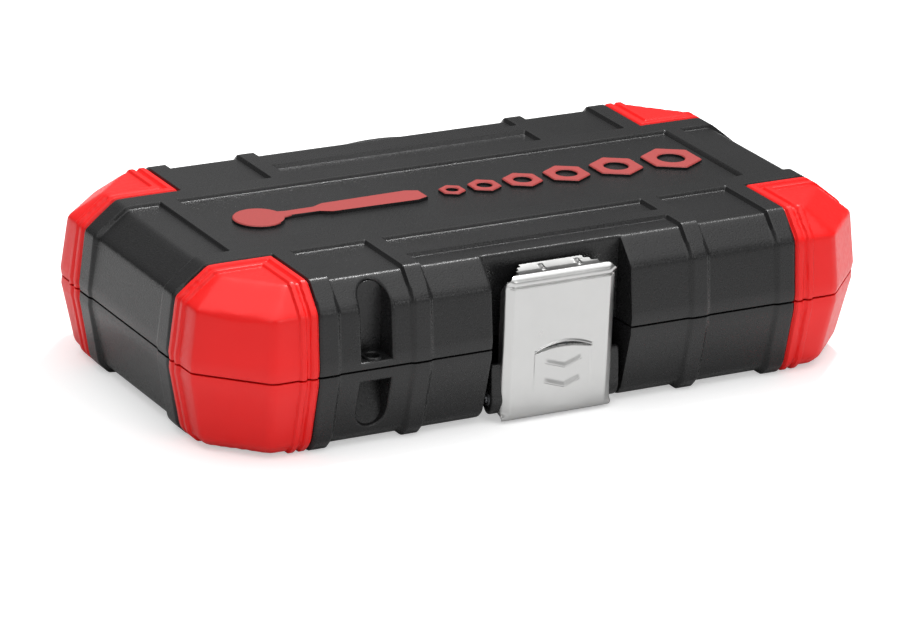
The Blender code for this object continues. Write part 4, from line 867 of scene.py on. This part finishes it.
def latch_sheet(columns=184, rows=264):
    """The pressed plate as one sheet over (across, along): its section bends back at both sides,
    and its path runs up the face, over a crease, round the roll and out along the hook's tab.
    The crease is a groove of depth d exp(-((z - c) / w)^2) between face and roll."""
    s, path_y, path_z = hook_path(rows)
    over_top = (path_z > 21.5) & (path_y > PLATE_FACE_Y + 2.2)
    start_tab = s[np.argmax(over_top)]
    on_tab = np.clip((s - start_tab) / (s[-1] - start_tab), 0, 1)
    flange = 1.9 * smooth_step((start_tab - 1.5 - s) / 2.5) * smooth_step((s - 1.0) / 3.0) + 0.05
    start_roll = s[np.argmax(path_z > 18.8)]
    round_end = np.sqrt(1 - np.clip((s - start_roll) / (start_tab - start_roll), 0, 1) ** 2)
    drawn_in = 1.4 * smooth_step((s - start_roll + 2.5) / 3) + 1.6 * (1 - smooth_step(s / 3.5))
    full = 14.8 + (6.4 + flange - drawn_in) * round_end
    step = [smooth_step((on_tab - at) / 0.05) for at in (0.42, 0.72)]
    ends = (14.8 - 1.1 * step[0] - 1.4 * step[1], 14.8 - 2.2 * step[0] - 2.0 * step[1])
    across = np.interp(np.linspace(-1, 1, columns), [-1, -0.66, 0.66, 1], [-1, -0.48, 0.48, 1])
    sides = [np.where(on_tab > 0, end, full) for end in ends]
    q = np.where(across[None, :] < 0, across[None, :] * sides[0][:, None],
                 across[None, :] * sides[1][:, None])
    x, back = plate_section(q)
    flatten = smooth_step((s - 0.5) / 4.0) * (1 - smooth_step((s - start_roll + 0.5) / 4.5))
    back = back * (0.04 + 0.96 * flatten[:, None])
    tangent = np.column_stack([np.gradient(path_y, s), np.gradient(path_z, s)])
    tangent /= np.linalg.norm(tangent, axis=1, keepdims=True)
    inward = np.column_stack([tangent[:, 1], -tangent[:, 0]])
    rise = path_z[:, None]
    on_face = (path_y[:, None] < PLATE_FACE_Y + 1.2)
    relief = plate_relief(x, rise) * (rise < 17) * on_face
    crease = np.exp(-((rise - 19.0) / 0.28) ** 2) * smooth_step((19.2 - np.abs(x)) / 1.2)
    roll_out = 0.35 * smooth_step((rise - 19.1) / 0.7) * (rise > 18)
    relief = relief - 0.5 * crease * on_face + roll_out * (1 - on_tab[:, None]) ** 2
    relief = relief + tab_relief(x, on_tab[:, None]) * (on_tab[:, None] > 0)
    corner = smooth_step((np.abs(x) - 17.5) / 2.7)
    depth = back - relief * (1 - 0.8 * corner)
    y = path_y[:, None] + inward[:, :1] * depth
    z = path_z[:, None] + inward[:, 1:] * depth
    return np.stack([x, y, z], axis=2)


def thick_sheet(outer, thickness):
    """A closed skin: the sheet, the same sheet moved in along its normals, and the edge between."""
    along = np.gradient(outer, axis=0)
    across = np.gradient(outer, axis=1)
    normal = np.cross(across, along)
    normal /= np.linalg.norm(normal, axis=2, keepdims=True) + 1e-12
    inner = outer - normal * thickness
    rows, columns = outer.shape[:2]
    points = [outer.reshape(-1, 3), inner.reshape(-1, 3)]
    faces = [grid_faces(rows, columns), grid_faces(rows, columns) + rows * columns]
    total = 2 * rows * columns
    for first, second in ((outer[0], inner[0]), (outer[-1], inner[-1]),
                          (outer[:, 0], inner[:, 0]), (outer[:, -1], inner[:, -1])):
        points += [first, second]
        faces.append(grid_faces(2, len(first)) + total)
        total += 2 * len(first)
    return np.concatenate(points), faces


class SOCKETSET_OT_latch(bpy.types.Operator):
    """Pressed steel latch plate with its thumb ridge and hook"""
    bl_idname = "socketset.latch"
    bl_label = "Latch plate"

    def execute(self, context):
        outer = latch_sheet()
        points, faces = thick_sheet(outer, -SHEET if outer_faces_in(outer) else SHEET)
        make_piece("latch_plate_pressed", points, faces, plated_sheet(), "latch",
                   ("latch_plate",), smooth=40, merge=0.004)
        return {"FINISHED"}


def outer_faces_in(outer):
    """Whether the sheet's normals at its middle point back into the case."""
    rows, columns = outer.shape[:2]
    row, column = rows // 3, columns // 2
    normal = np.cross(outer[row, column + 1] - outer[row, column],
                      outer[row + 1, column] - outer[row, column])
    return normal[1] > 0


# ---- emblem ---------------------------------------------------------------------------------
def raised_shape(outline, low, high, bevel):
    """A closed (x, y) outline raised from low to high, with its upper edge drawn in."""
    middle = outline.mean(axis=0)
    away = outline - middle
    size = np.linalg.norm(away, axis=1, keepdims=True)
    drawn = middle + away * np.clip(1 - bevel / size, 0, 1)
    rings = [np.column_stack([outline, np.full(len(outline), low)]),
             np.column_stack([outline, np.full(len(outline), high - bevel)]),
             np.column_stack([drawn, np.full(len(outline), high)])]
    return ring_solid(rings)


def wrench_outline():
    """A plain ratchet seen from above: round head, neck and a long handle."""
    head = np.radians(np.linspace(20, 340, 33))
    x = np.concatenate([-29 + 8.5 * np.cos(head), [-18, -8, -4, 27, 31, 31, 27, -4, -8, -18]])
    y = np.concatenate([8.5 * np.sin(head), [-2.2, -2.2, -4.2, -4.8, -3.2, 3.2, 4.8, 4.2, 2.2, 2.2]])
    return np.column_stack([x, y])


def raised_nut(across, hole, at, low, high, bevel):
    """A hexagon with a round hole, raised from low to high; its section runs once round."""
    angle = np.linspace(0, 2 * math.pi, 72, endpoint=False)
    outer = polygon_radius(angle, across, 6, 0.1)
    rows = [(outer, low), (outer, high - bevel), (outer - bevel, high),
            (np.full(72, hole + bevel), high), (np.full(72, hole), high - bevel),
            (np.full(72, hole), low), (outer, low)]
    rings = [np.column_stack([at[0] + radius * np.cos(angle), at[1] + radius * np.sin(angle),
                              np.full(72, z)]) for radius, z in rows]
    return np.concatenate(rings), [grid_faces(len(rows), 72, wrap=True)]


class SOCKETSET_OT_emblem(bpy.types.Operator):
    """Raised emblem on the lid: a ratchet and a row of growing nuts"""
    bl_idname = "socketset.emblem"
    bl_label = "Emblem"

    def execute(self, context):
        finish = context.scene.finish_settings
        top = LID_FORM[0] + LID_FORM[2]
        low, high, bevel = top - 0.4, top + 1.1, 0.34
        made, grids, caps = raised_shape(wrench_outline() + np.array([-46.0, 0.0]), low, high, bevel)
        points, faces = [made], grids + [np.array([cap]) for cap in caps]
        total = len(made)
        x = -9.0
        for across in (8.0, 10.0, 12.0, 14.0, 16.0, 18.0):
            x += across * 0.58
            made, grids = raised_nut(across, across * 0.26, (x, 0.0), low, high, bevel)
            points.append(made)
            faces += [grid + total for grid in grids]
            total += len(made)
            x += across * 0.58 + 1.6
        emblem = make_piece("lid_emblem", np.concatenate(points), faces,
                            [moulded_black(finish), printed_red(finish)], "lid",
                            merge=0.004)
        normals = np.empty(len(emblem.data.polygons) * 3)
        emblem.data.polygons.foreach_get("normal", normals)
        emblem.data.polygons.foreach_set("material_index", (normals[2::3] > 0.5).astype(int))
        return {"FINISHED"}


# ---- the other pieces -------------------------------------------------------------------------
def chrome(name="polished_chrome"):
    """Bright chrome plate over drop-forged steel, with the faint waves of a polished forging."""
    made, tree, shader, place = surface(name, "#D4D5D8", 0.12, 1.0)
    wave = noise(tree, place, 9.0, 2.0)
    fine = noise(tree, place, 0.6, 2.0)
    tree.links.new(ramp(tree, fine, 0.3, 0.7, 0.09, 0.17), shader.inputs["Roughness"])
    blend_colour(tree, shader, ramp(tree, wave, 0.3, 0.7, 0, 1), "#CFD0D4", "#DADBDD")
    bump(tree, shader, wave, 0.02, 0.2)
    return made


def phosphated():
    """Screwdriver-bit steel with a phosphated, oiled skin: dark grey, softly mottled."""
    made, tree, shader, place = surface("phosphated_steel", "#5A5B5E", 0.42, 0.9)
    cloud = noise(tree, place, 2.5, 3.0)
    blend_colour(tree, shader, ramp(tree, cloud, 0.3, 0.7, 0, 1), "#4F5053", "#6A6B6E")
    bump(tree, shader, cloud, 0.02, 0.3)
    return made


def foam_finish(name, colour):
    """Closed-cell polyethylene foam, cut: dull, with fine open cells."""
    made, tree, shader, place = surface(name, colour, 0.95,
                                        constants=[("Specular IOR Level", 0.2)])
    cells = add(tree, "ShaderNodeTexVoronoi", [("Scale", 1 / (0.6 * MM))],
                [("Vector", place)]).outputs["Distance"]
    light = [int(colour[i:i + 2], 16) / 255 for i in (1, 3, 5)]
    blend_colour(tree, shader, ramp(tree, cells, 0.1, 0.8, 0, 1), [c * 0.82 for c in light], light)
    bump(tree, shader, cells, 0.12, 0.5)
    return made


def grip_finish(name, colour, roughness):
    """Grip moulding: a fine matte grain over a soft elastomer or a satin plastic."""
    made, tree, shader, place = surface(name, colour, roughness)
    grain = noise(tree, place, 0.4, 3.0)
    light = [int(colour[i:i + 2], 16) / 255 for i in (1, 3, 5)]
    blend_colour(tree, shader, ramp(tree, grain, 0.3, 0.7, 0, 1), [c * 0.9 for c in light], light)
    bump(tree, shader, grain, 0.05, 0.35)
    return made


class SOCKETSET_OT_finishes(bpy.types.Operator):
    """Finishes for the nodes that are shown as they are"""
    bl_idname = "socketset.finishes"
    bl_label = "Finishes"

    def execute(self, context):
        finish = context.scene.finish_settings
        by_slot = {"black_case": moulded_black(finish), "bright_steel": plated_sheet(),
                   "chrome_steel": chrome(), "dark_steel": phosphated(),
                   "black_foam": foam_finish("black_foam", "#2A2A2C"),
                   "red_foam": foam_finish("red_foam", "#B4231F"),
                   "black_grip": grip_finish("black_elastomer", "#222224", 0.62),
                   "red_grip": grip_finish("red_satin_grip", "#C4201C", 0.4),
                   "red_guard": moulded_red(finish)}
        for part in frame["record"]["subparts"]:
            mesh = frame["nodes"][part["node"]].data
            mesh.materials.clear()
            mesh.materials.append(by_slot[part["material_slot"]])
        return {"FINISHED"}


# ---- tools ----------------------------------------------------------------------------------
def polygon_radius(angle, across, sides, rounding=0.35):
    """Radius of a regular polygon at each angle: (a / 2) / cos(t), its corners rounded off."""
    step = 2 * math.pi / sides
    turn = (angle + step / 2) % step - step / 2
    corner = across / 2 / math.cos(math.pi / sides)
    return np.minimum(across / 2 / np.cos(turn), corner - rounding)


def lathe(rows, angle, sections):
    """Rings of points round +Z. Each row is (z, size, section), and each section gives a radius
    for every angle from that size; rows of size 0 close the form at its axis."""
    rings = []
    for z, size, section in rows:
        radius = sections[section](angle, size)
        rings.append(np.column_stack([radius * np.cos(angle), radius * np.sin(angle),
                                      np.full(len(angle), z)]))
    return np.concatenate(rings), [grid_faces(len(rows), len(angle), wrap=True)]


SECTIONS = {
    "round": lambda angle, size: np.full(len(angle), size),
    "hexagon": lambda angle, size: polygon_radius(angle, size, 6),
    "square": lambda angle, size: polygon_radius(angle - math.pi / 4, size, 4, 0.5),
    "knurl": lambda angle, size: size - 0.22 * np.abs(np.sin(angle * 15)) ** 0.7,
    "flute": lambda angle, size: size * (1 - 0.075 * (0.5 + 0.5 * np.cos(angle * 8)) ** 2),
    "hexagon_soft": lambda angle, size: size * (0.93 + 0.07 * np.abs(np.sin(angle * 3)) ** 0.8),
}


def along_x(points, back=False):
    """Turns a form built round +Z so that it lies along +X, or along -X."""
    turned = points[:, [2, 1, 0]] * np.array([1, 1, -1])
    return turned * np.array([-1, -1, 1]) if back else turned


def node_place(node):
    """A node's middle and half sizes, in millimetres from the frame's origin."""
    low, high = frame_box(node)
    return (low + high) / 2, (high - low) / 2


def socket_rows(size, radius, length):
    """A hexagon socket standing on its square: wall, knurled band, mouth, hexagon and square."""
    foot, top = 0.0, length
    band = (0.30 * length, 0.44 * length)
    return [(foot + 9.0, 0.0, "round"), (foot + 9.6, 6.4, "square"), (foot + 0.5, 6.4, "square"),
            (foot, 7.0, "square"), (foot, radius - 0.6, "round"), (foot + 0.2, radius - 0.25, "round"),
            (foot + 0.6, radius, "round"), (band[0] - 0.7, radius, "round"),
            (band[0] - 0.45, radius - 0.35, "round"), (band[0], radius - 0.35, "round"),
            (band[0] + 0.2, radius, "knurl"), (band[1] - 0.2, radius, "knurl"),
            (band[1], radius - 0.35, "round"), (band[1] + 0.45, radius - 0.35, "round"),
            (band[1] + 0.7, radius, "round"), (top - 0.9, radius, "round"),
            (top - 0.35, radius - 0.12, "round"), (top - 0.08, radius - 0.4, "round"),
            (top, radius - 0.75, "round"), (top - 0.05, size * 0.5774 + 0.35, "round"),
            (top - 0.8, size, "hexagon"), (top - 10.6, size, "hexagon"), (top - 11.0, 0.0, "round")]


SOCKETS = {"socket_4": 4.0, "socket_4_5": 4.5, "socket_5": 5.0, "socket_5_5": 5.5, "socket_6": 6.0,
           "socket_7": 7.0, "socket_8": 8.0, "socket_9": 9.0, "socket_10": 10.0, "socket_11": 11.0,
           "socket_12": 12.0, "socket_13": 13.0, "socket_14": 14.0}


class SOCKETSET_OT_sockets(bpy.types.Operator):
    """Thirteen sockets with chamfered mouths and a knurled band"""
    bl_idname = "socketset.sockets"
    bl_label = "Sockets"

    def execute(self, context):
        plate = chrome("polished_chrome_sockets")
        angle = np.linspace(0, 2 * math.pi, 120, endpoint=False)
        for node, size in SOCKETS.items():
            middle, half = node_place(node)
            points, faces = lathe(socket_rows(size + 0.1, half[0], 2 * half[2]), angle, SECTIONS)
            foot = middle - np.array([0, 0, half[2]])
            make_piece(f"{node}_turned", points, faces, plate, "base", (node,),
                       merge=0.001, shown=foot)
        return {"FINISHED"}


def bar_rows(length, head, head_length, bar):
    """An extension bar from its socket end: square hole, grooved head, rod and driving square."""
    tip = length - 7.5
    return [(9.0, 0.0, "round"), (9.0, 6.4, "square"), (0.5, 6.4, "square"), (0.0, 7.0, "square"),
            (0.0, head - 0.6, "round"), (0.6, head, "round"), (3.2, head, "round"),
            (3.5, head - 0.4, "round"), (4.3, head - 0.4, "round"), (4.6, head, "knurl"),
            (11.0, head, "knurl"), (11.3, head - 0.4, "round"), (12.1, head - 0.4, "round"),
            (12.4, head, "round"), (head_length - 3.0, head, "round"),
            (head_length - 0.6, (head + bar) / 2 + 0.4, "round"), (head_length, bar, "round"),
            (tip - 2.5, bar, "round"), (tip - 1.0, 4.4, "round"), (tip, 4.4, "round"),
            (tip + 0.1, 6.25, "square"), (length - 0.9, 6.25, "square"), (length, 5.2, "square"),
            (length, 0.0, "round")]


class SOCKETSET_OT_bars(bpy.types.Operator):
    """Extension bars, the spinner's shaft and its fluted grip"""
    bl_idname = "socketset.bars"
    bl_label = "Bars and spinner"

    def execute(self, context):
        plate = chrome("polished_chrome_bars")
        angle = np.linspace(0, 2 * math.pi, 120, endpoint=False)
        for node in ("extension_long", "extension_short"):
            middle, half = node_place(node)
            points, faces = lathe(bar_rows(2 * half[0], half[1], 18.0, 3.1), angle, SECTIONS)
            make_piece(f"{node}_turned", along_x(points), faces, plate, "base", (node,),
                       merge=0.001, shown=middle - np.array([half[0], 0, 0]))
        middle, half = node_place("spinner_shaft")
        length = 2 * half[0]
        rows = [(0.0, 0.0, "round"), (0.0, 3.4, "round"), (length - 10.2, 3.5, "round"),
                (length - 9.0, 4.3, "round"), (length - 7.5, 4.3, "round"),
                (length - 7.4, 6.25, "square"), (length - 0.9, 6.25, "square"),
                (length, 5.2, "square"), (length, 0.0, "round")]
        points, faces = lathe(rows, angle, SECTIONS)
        make_piece("spinner_shaft_turned", along_x(points), faces, plate, "base",
                   ("spinner_shaft",), merge=0.001,
                   shown=middle - np.array([half[0], 0, 0]))
        middle, half = node_place("spinner_grip")
        length, full = 2 * half[0], half[1] - 0.02
        part = np.linspace(0.16, 0.80, 26)
        rows = [(0.0, 0.0, "round"), (0.0, full * 0.55, "round"), (0.8, full * 0.74, "round"),
                (2.6, full * 0.88, "round"), (6.0, full * 0.95, "round"), (9.0, full * 0.96, "round")]
        rows += [(at * length, full * (0.985 + 0.015 * math.cos((at - 0.45) * 7)), "flute")
                 for at in part]
        rows += [(0.84 * length, full * 0.80, "round"), (0.88 * length, full * 0.66, "round"),
                 (0.93 * length, full * 0.66, "round"), (0.97 * length, full * 0.72, "round"),
                 (0.99 * length, full * 0.66, "round"), (length, full * 0.52, "round"),
                 (length, 3.6, "round"), (length - 3.0, 3.6, "round"), (length - 3.0, 0.0, "round")]
        points, faces = lathe(rows, angle, SECTIONS)
        make_piece("spinner_grip_moulded", along_x(points), faces,
                   grip_finish("red_satin_spinner", "#C4201C", 0.38), "base", ("spinner_grip",),
                   merge=0.001, shown=middle - np.array([half[0], 0, 0]), smooth=40)
        return {"FINISHED"}


class SOCKETSET_OT_lid_pad(bpy.types.Operator):
    """Soft pad under the lid's top: its eight-sided outline scaled inwards, its face crowned"""
    bl_idname = "socketset.lid_pad"
    bl_label = "Lid pad"

    def execute(self, context):
        middle, (x, y, z) = node_place("lid_pad")
        cut = 16.0
        corners = [(x, cut - y), (x, y - cut), (x - cut, y), (cut - x, y), (-x, y - cut),
                   (-x, cut - y), (cut - x, -y), (x - cut, -y)]
        outline = smooth_outline(corners, 240, 5)
        rows = [(0, z), (0.985, z), (0.997, z - 0.5), (1, z - 1.2), (0.996, 0), (1, 2.2 - z),
                (0.994, 1.2 - z), (0.98, 0.7 - z), (0.95, 0.5 - z), (0.8, 0.25 - z),
                (0.55, 0.08 - z), (0.3, 0.02 - z), (0, -z)]
        rings = [np.column_stack([outline * share, np.full(240, at)]) for share, at in rows]
        pad = make_piece("lid_pad_foam", np.concatenate(rings), [grid_faces(len(rows), 240, wrap=True)],
                         foam_finish("grey_pad_foam", "#303033"), "lid", ("lid_pad",),
                         merge=0.001, shown=middle, smooth=50)
        return {"FINISHED"}


class SOCKETSET_OT_ratchet_grip(bpy.types.Operator):
    """Soft ratchet grip: a flat oval carried along x, waisted, with finger grooves"""
    bl_idname = "socketset.ratchet_grip"
    bl_label = "Ratchet grip"

    def execute(self, context):
        middle, half = node_place("ratchet_grip")
        length = 2 * half[0]
        angle = np.linspace(0, 2 * math.pi, 96, endpoint=False)
        along = np.unique(np.concatenate([np.linspace(0, 0.03, 7), np.linspace(0.03, 0.97, 150),
                                          np.linspace(0.97, 1, 7)]))
        end = np.sqrt(np.clip(1 - (np.clip(np.abs(along - 0.5) - 0.47, 0, 0.03) / 0.03) ** 2, 0, 1))
        waist = 1 - 0.10 * np.exp(-((along - 0.12) / 0.09) ** 2) - 0.04 * np.exp(
            -((along - 0.6) / 0.2) ** 2)
        grooves = 0.035 * (0.5 + 0.5 * np.cos((along - 0.62) * 2 * math.pi * 14)) ** 3
        grooves = grooves * (np.abs(along - 0.62) < 0.25)
        size = (waist - grooves) * (0.35 + 0.65 * end)
        oval = np.stack([np.sign(np.cos(angle)) * np.abs(np.cos(angle)) ** 0.75,
                         np.sign(np.sin(angle)) * np.abs(np.sin(angle)) ** 0.75], axis=1)
        y = size[:, None] * half[1] * oval[None, :, 0]
        z = size[:, None] * half[2] * oval[None, :, 1]
        x = np.repeat((along * length - half[0])[:, None], len(angle), axis=1)
        points = np.stack([x, y, z], axis=2).reshape(-1, 3)
        faces = [grid_faces(len(along), len(angle), wrap=True)]
        caps = [np.array([np.arange(len(angle))]),
                np.array([np.arange(len(angle)) + (len(along) - 1) * len(angle)])]
        make_piece("ratchet_grip_moulded", points, faces + caps,
                   grip_finish("black_soft_grip", "#222224", 0.6), "base", ("ratchet_grip",),
                   shown=middle, smooth=50)
        return {"FINISHED"}


KNUCKLE_HALF = 23.4
PIN_HALF = 24.4


class SOCKETSET_OT_carrier(bpy.types.Operator):
    """Black lever behind the latch plate, with its knuckle on the pin"""
    bl_idname = "socketset.carrier"
    bl_label = "Latch carrier"

    def execute(self, context):
        low, high = (corner - DATUM for corner in frame_box("latch_carrier"))
        pin_low, pin_high = (corner - DATUM for corner in frame_box("latch_pin"))
        axis = (pin_low[1:] + pin_high[1:]) / 2
        front = low[1]
        turn = np.radians(np.linspace(-125, 60, 24))
        knuckle = np.column_stack([axis[0] + 4.8 * np.cos(turn), axis[1] + 4.8 * np.sin(turn)])
        lever = np.concatenate([[(front, high[2]), (front, -23.0)], knuckle,
                                [(front + 4, axis[1] + 8), (front + 4, high[2])]])
        turn = np.radians(np.linspace(-200, 60, 40))
        reach = axis[0] - PLATE_FACE_Y - SHEET - 0.3
        boss = np.column_stack([axis[0] + reach * np.cos(turn), axis[1] + 5.3 * np.sin(turn)])
        boss = np.concatenate([[(PLATE_FACE_Y + 2.6, axis[1] + 12)], boss,
                               [(PLATE_FACE_Y + 4.6, axis[1] + 12)]])
        black = moulded_black(context.scene.finish_settings)
        for name, outline, half, middle, nodes in (
                ("latch_carrier_moulded", lever, high[0], (front + 2.0, -8.0), ("latch_carrier",)),
                ("latch_knuckle", boss, KNUCKLE_HALF, tuple(axis), ())):
            stations, insets = rounded_ends(half, 0.8, 5)
            points, faces, caps = loft_along_x(smooth_outline(outline, 160, 6), stations, insets,
                                               middle)
            make_piece(name, points, faces + [np.array([cap]) for cap in caps], black, "latch",
                       nodes)
        angle = np.linspace(0, 2 * math.pi, 48, endpoint=False)
        half = PIN_HALF
        rows = [(-half, 0.0, "round"), (-half, 1.0, "round"), (0.5 - half, 1.2, "round"),
                (0.5 - half, 1.8, "round"), (0.7 - half, 2.1, "round"), (1.2 - half, 2.1, "round"),
                (1.2 - half, 1.7, "round"), (half - 0.4, 1.7, "round"), (half, 1.3, "round"),
                (half, 0.0, "round")]
        points, faces = lathe(rows, angle, SECTIONS)
        make_piece("latch_pin_turned", along_x(points), faces, phosphated(), "base",
                   ("latch_pin",), merge=0.001,
                   shown=DATUM + np.array([0.0, *axis]))
        return {"FINISHED"}


# ---- stage --------------------------------------------------------------------------------------
CAMERA_TURN = (-29.489, 20.560, 2.239)
CAMERA_AT = (-766.9, -1350.4, 565.0)
LENS = 201.07
FLOOR_HALF = 6.0
PAPER_GLOW = 0.45
WORLD_STRENGTH = 0.18
# (name, place, what it faces, side length, watts); places and lengths in metres
LIGHTS = (("overhead", (0.0, -0.1, 1.7), (0, 0, 0), 2.8, 42),
          ("front", (0.6, -2.2, 1.0), (0, 0, 0.02), 0.8, 9),
          ("camera_side", (-1.6, -1.6, 1.2), (0, 0, 0.02), 0.7, 5),
          ("back", (0.3, 2.4, 1.3), (0, 0, 0), 2.0, 3),
          ("glint", (0.5, 0.3, 1.5), (0, 0, 0.03), 0.2, 18))


def aim_camera():
    """Camera at a given heading, height and roll, looking at the case through a long lens."""
    turn, lift, roll = (math.radians(value) for value in CAMERA_TURN)
    back = np.array([math.sin(turn) * math.cos(lift), -math.cos(turn) * math.cos(lift),
                     math.sin(lift)])
    right = np.array([math.cos(turn), math.sin(turn), 0])
    up = np.cross(back, right)
    rolled = right * math.cos(roll) + up * math.sin(roll)
    over = up * math.cos(roll) - right * math.sin(roll)
    lens = bpy.data.cameras.new("camera")
    lens.lens, lens.sensor_width = LENS, 36
    lens.clip_start, lens.clip_end = 0.05, 20
    camera = bpy.data.objects.new("camera", lens)
    place = Matrix([[*row] for row in np.column_stack([rolled, over, back])]).to_4x4()
    place.translation = (np.array(CAMERA_AT) + DATUM) * MM
    camera.matrix_world = place
    bpy.context.scene.collection.objects.link(camera)
    bpy.context.scene.camera = camera


def area_light(name, at, toward, size, power):
    """A square soft light in metres and watts, turned toward a point."""
    data = bpy.data.lights.new(name, "AREA")
    data.energy, data.size, data.spread = power, size, math.pi
    light = bpy.data.objects.new(name, data)
    forward = np.array(toward) - np.array(at)
    light.location = at
    light.rotation_euler = Vector(forward).to_track_quat("-Z", "Y").to_euler()
    bpy.context.scene.collection.objects.link(light)


class SOCKETSET_OT_stage(bpy.types.Operator):
    """Pale floor, soft studio light and the camera"""
    bl_idname = "socketset.stage"
    bl_label = "Stage"

    def execute(self, context):
        mesh = bpy.data.meshes.new("floor")
        mesh.from_pydata([(-FLOOR_HALF, -FLOOR_HALF, 0), (FLOOR_HALF, -FLOOR_HALF, 0),
                          (FLOOR_HALF, FLOOR_HALF, 0), (-FLOOR_HALF, FLOOR_HALF, 0)],
                         [], [(0, 1, 2, 3)])
        floor = bpy.data.objects.new("floor", mesh)
        bpy.context.scene.collection.objects.link(floor)
        paper, tree, shader, _ = surface("studio_paper", "#DEDEDE", 0.9)
        path = add(tree, "ShaderNodeLightPath")
        lift = add(tree, "ShaderNodeMath", [("operation", "MULTIPLY"), (1, PAPER_GLOW)],
                   [(0, path.outputs["Is Camera Ray"])])
        shader.inputs["Emission Color"].default_value = (1, 1, 1, 1)
        tree.links.new(lift.outputs["Value"], shader.inputs["Emission Strength"])
        mesh.materials.append(paper)
        world = bpy.data.worlds.new("studio")
        world.use_nodes = True
        sky = world.node_tree.nodes["Background"]
        sky.inputs["Color"].default_value = (1, 1, 1, 1)
        sky.inputs["Strength"].default_value = WORLD_STRENGTH
        context.scene.world = world
        context.scene.view_settings.view_transform = "Standard"
        for row in LIGHTS:
            area_light(*row)
        aim_camera()
        return {"FINISHED"}


# ---- add-on ---------------------------------------------------------------------------------------
class SOCKETSET_PT_panel(bpy.types.Panel):
    """Sidebar panel with the settings and a button for each operator"""
    bl_idname = "SOCKETSET_PT_panel"
    bl_label = "Socket wrench set"
    bl_space_type = "VIEW_3D"
    bl_region_type = "UI"
    bl_category = "Socket Set"

    def draw(self, context):
        column = self.layout.column()
        for settings in (context.scene.case_settings, context.scene.finish_settings):
            for key in settings.__annotations__:
                column.prop(settings, key)
        for operator in OPERATORS:
            column.operator(operator.bl_idname)


OPERATORS = (SOCKETSET_OT_finishes, SOCKETSET_OT_lid, SOCKETSET_OT_base, SOCKETSET_OT_guards,
             SOCKETSET_OT_hinge, SOCKETSET_OT_latch, SOCKETSET_OT_carrier, SOCKETSET_OT_emblem,
             SOCKETSET_OT_sockets, SOCKETSET_OT_bars, SOCKETSET_OT_lid_pad,
             SOCKETSET_OT_ratchet_grip, SOCKETSET_OT_stage)
CLASSES = (CaseSettings, FinishSettings, *OPERATORS, SOCKETSET_PT_panel)


def register():
    """Registers the classes and hangs both groups of settings on the scene."""
    for item in CLASSES:
        bpy.utils.register_class(item)
    bpy.types.Scene.case_settings = PointerProperty(type=CaseSettings)
    bpy.types.Scene.finish_settings = PointerProperty(type=FinishSettings)


def unregister():
    """Takes away what register added."""
    del bpy.types.Scene.finish_settings
    del bpy.types.Scene.case_settings
    for item in reversed(CLASSES):
        bpy.utils.unregister_class(item)


def main():
    """Builds every piece in order, then the stage."""
    register()
    bpy.ops.socketset.finishes()
    bpy.ops.socketset.lid()
    bpy.ops.socketset.base()
    bpy.ops.socketset.guards()
    bpy.ops.socketset.hinge()
    bpy.ops.socketset.latch()
    bpy.ops.socketset.carrier()
    bpy.ops.socketset.emblem()
    bpy.ops.socketset.sockets()
    bpy.ops.socketset.bars()
    bpy.ops.socketset.lid_pad()
    bpy.ops.socketset.ratchet_grip()
    bpy.ops.socketset.stage()


if __name__ == "__main__":
    main()
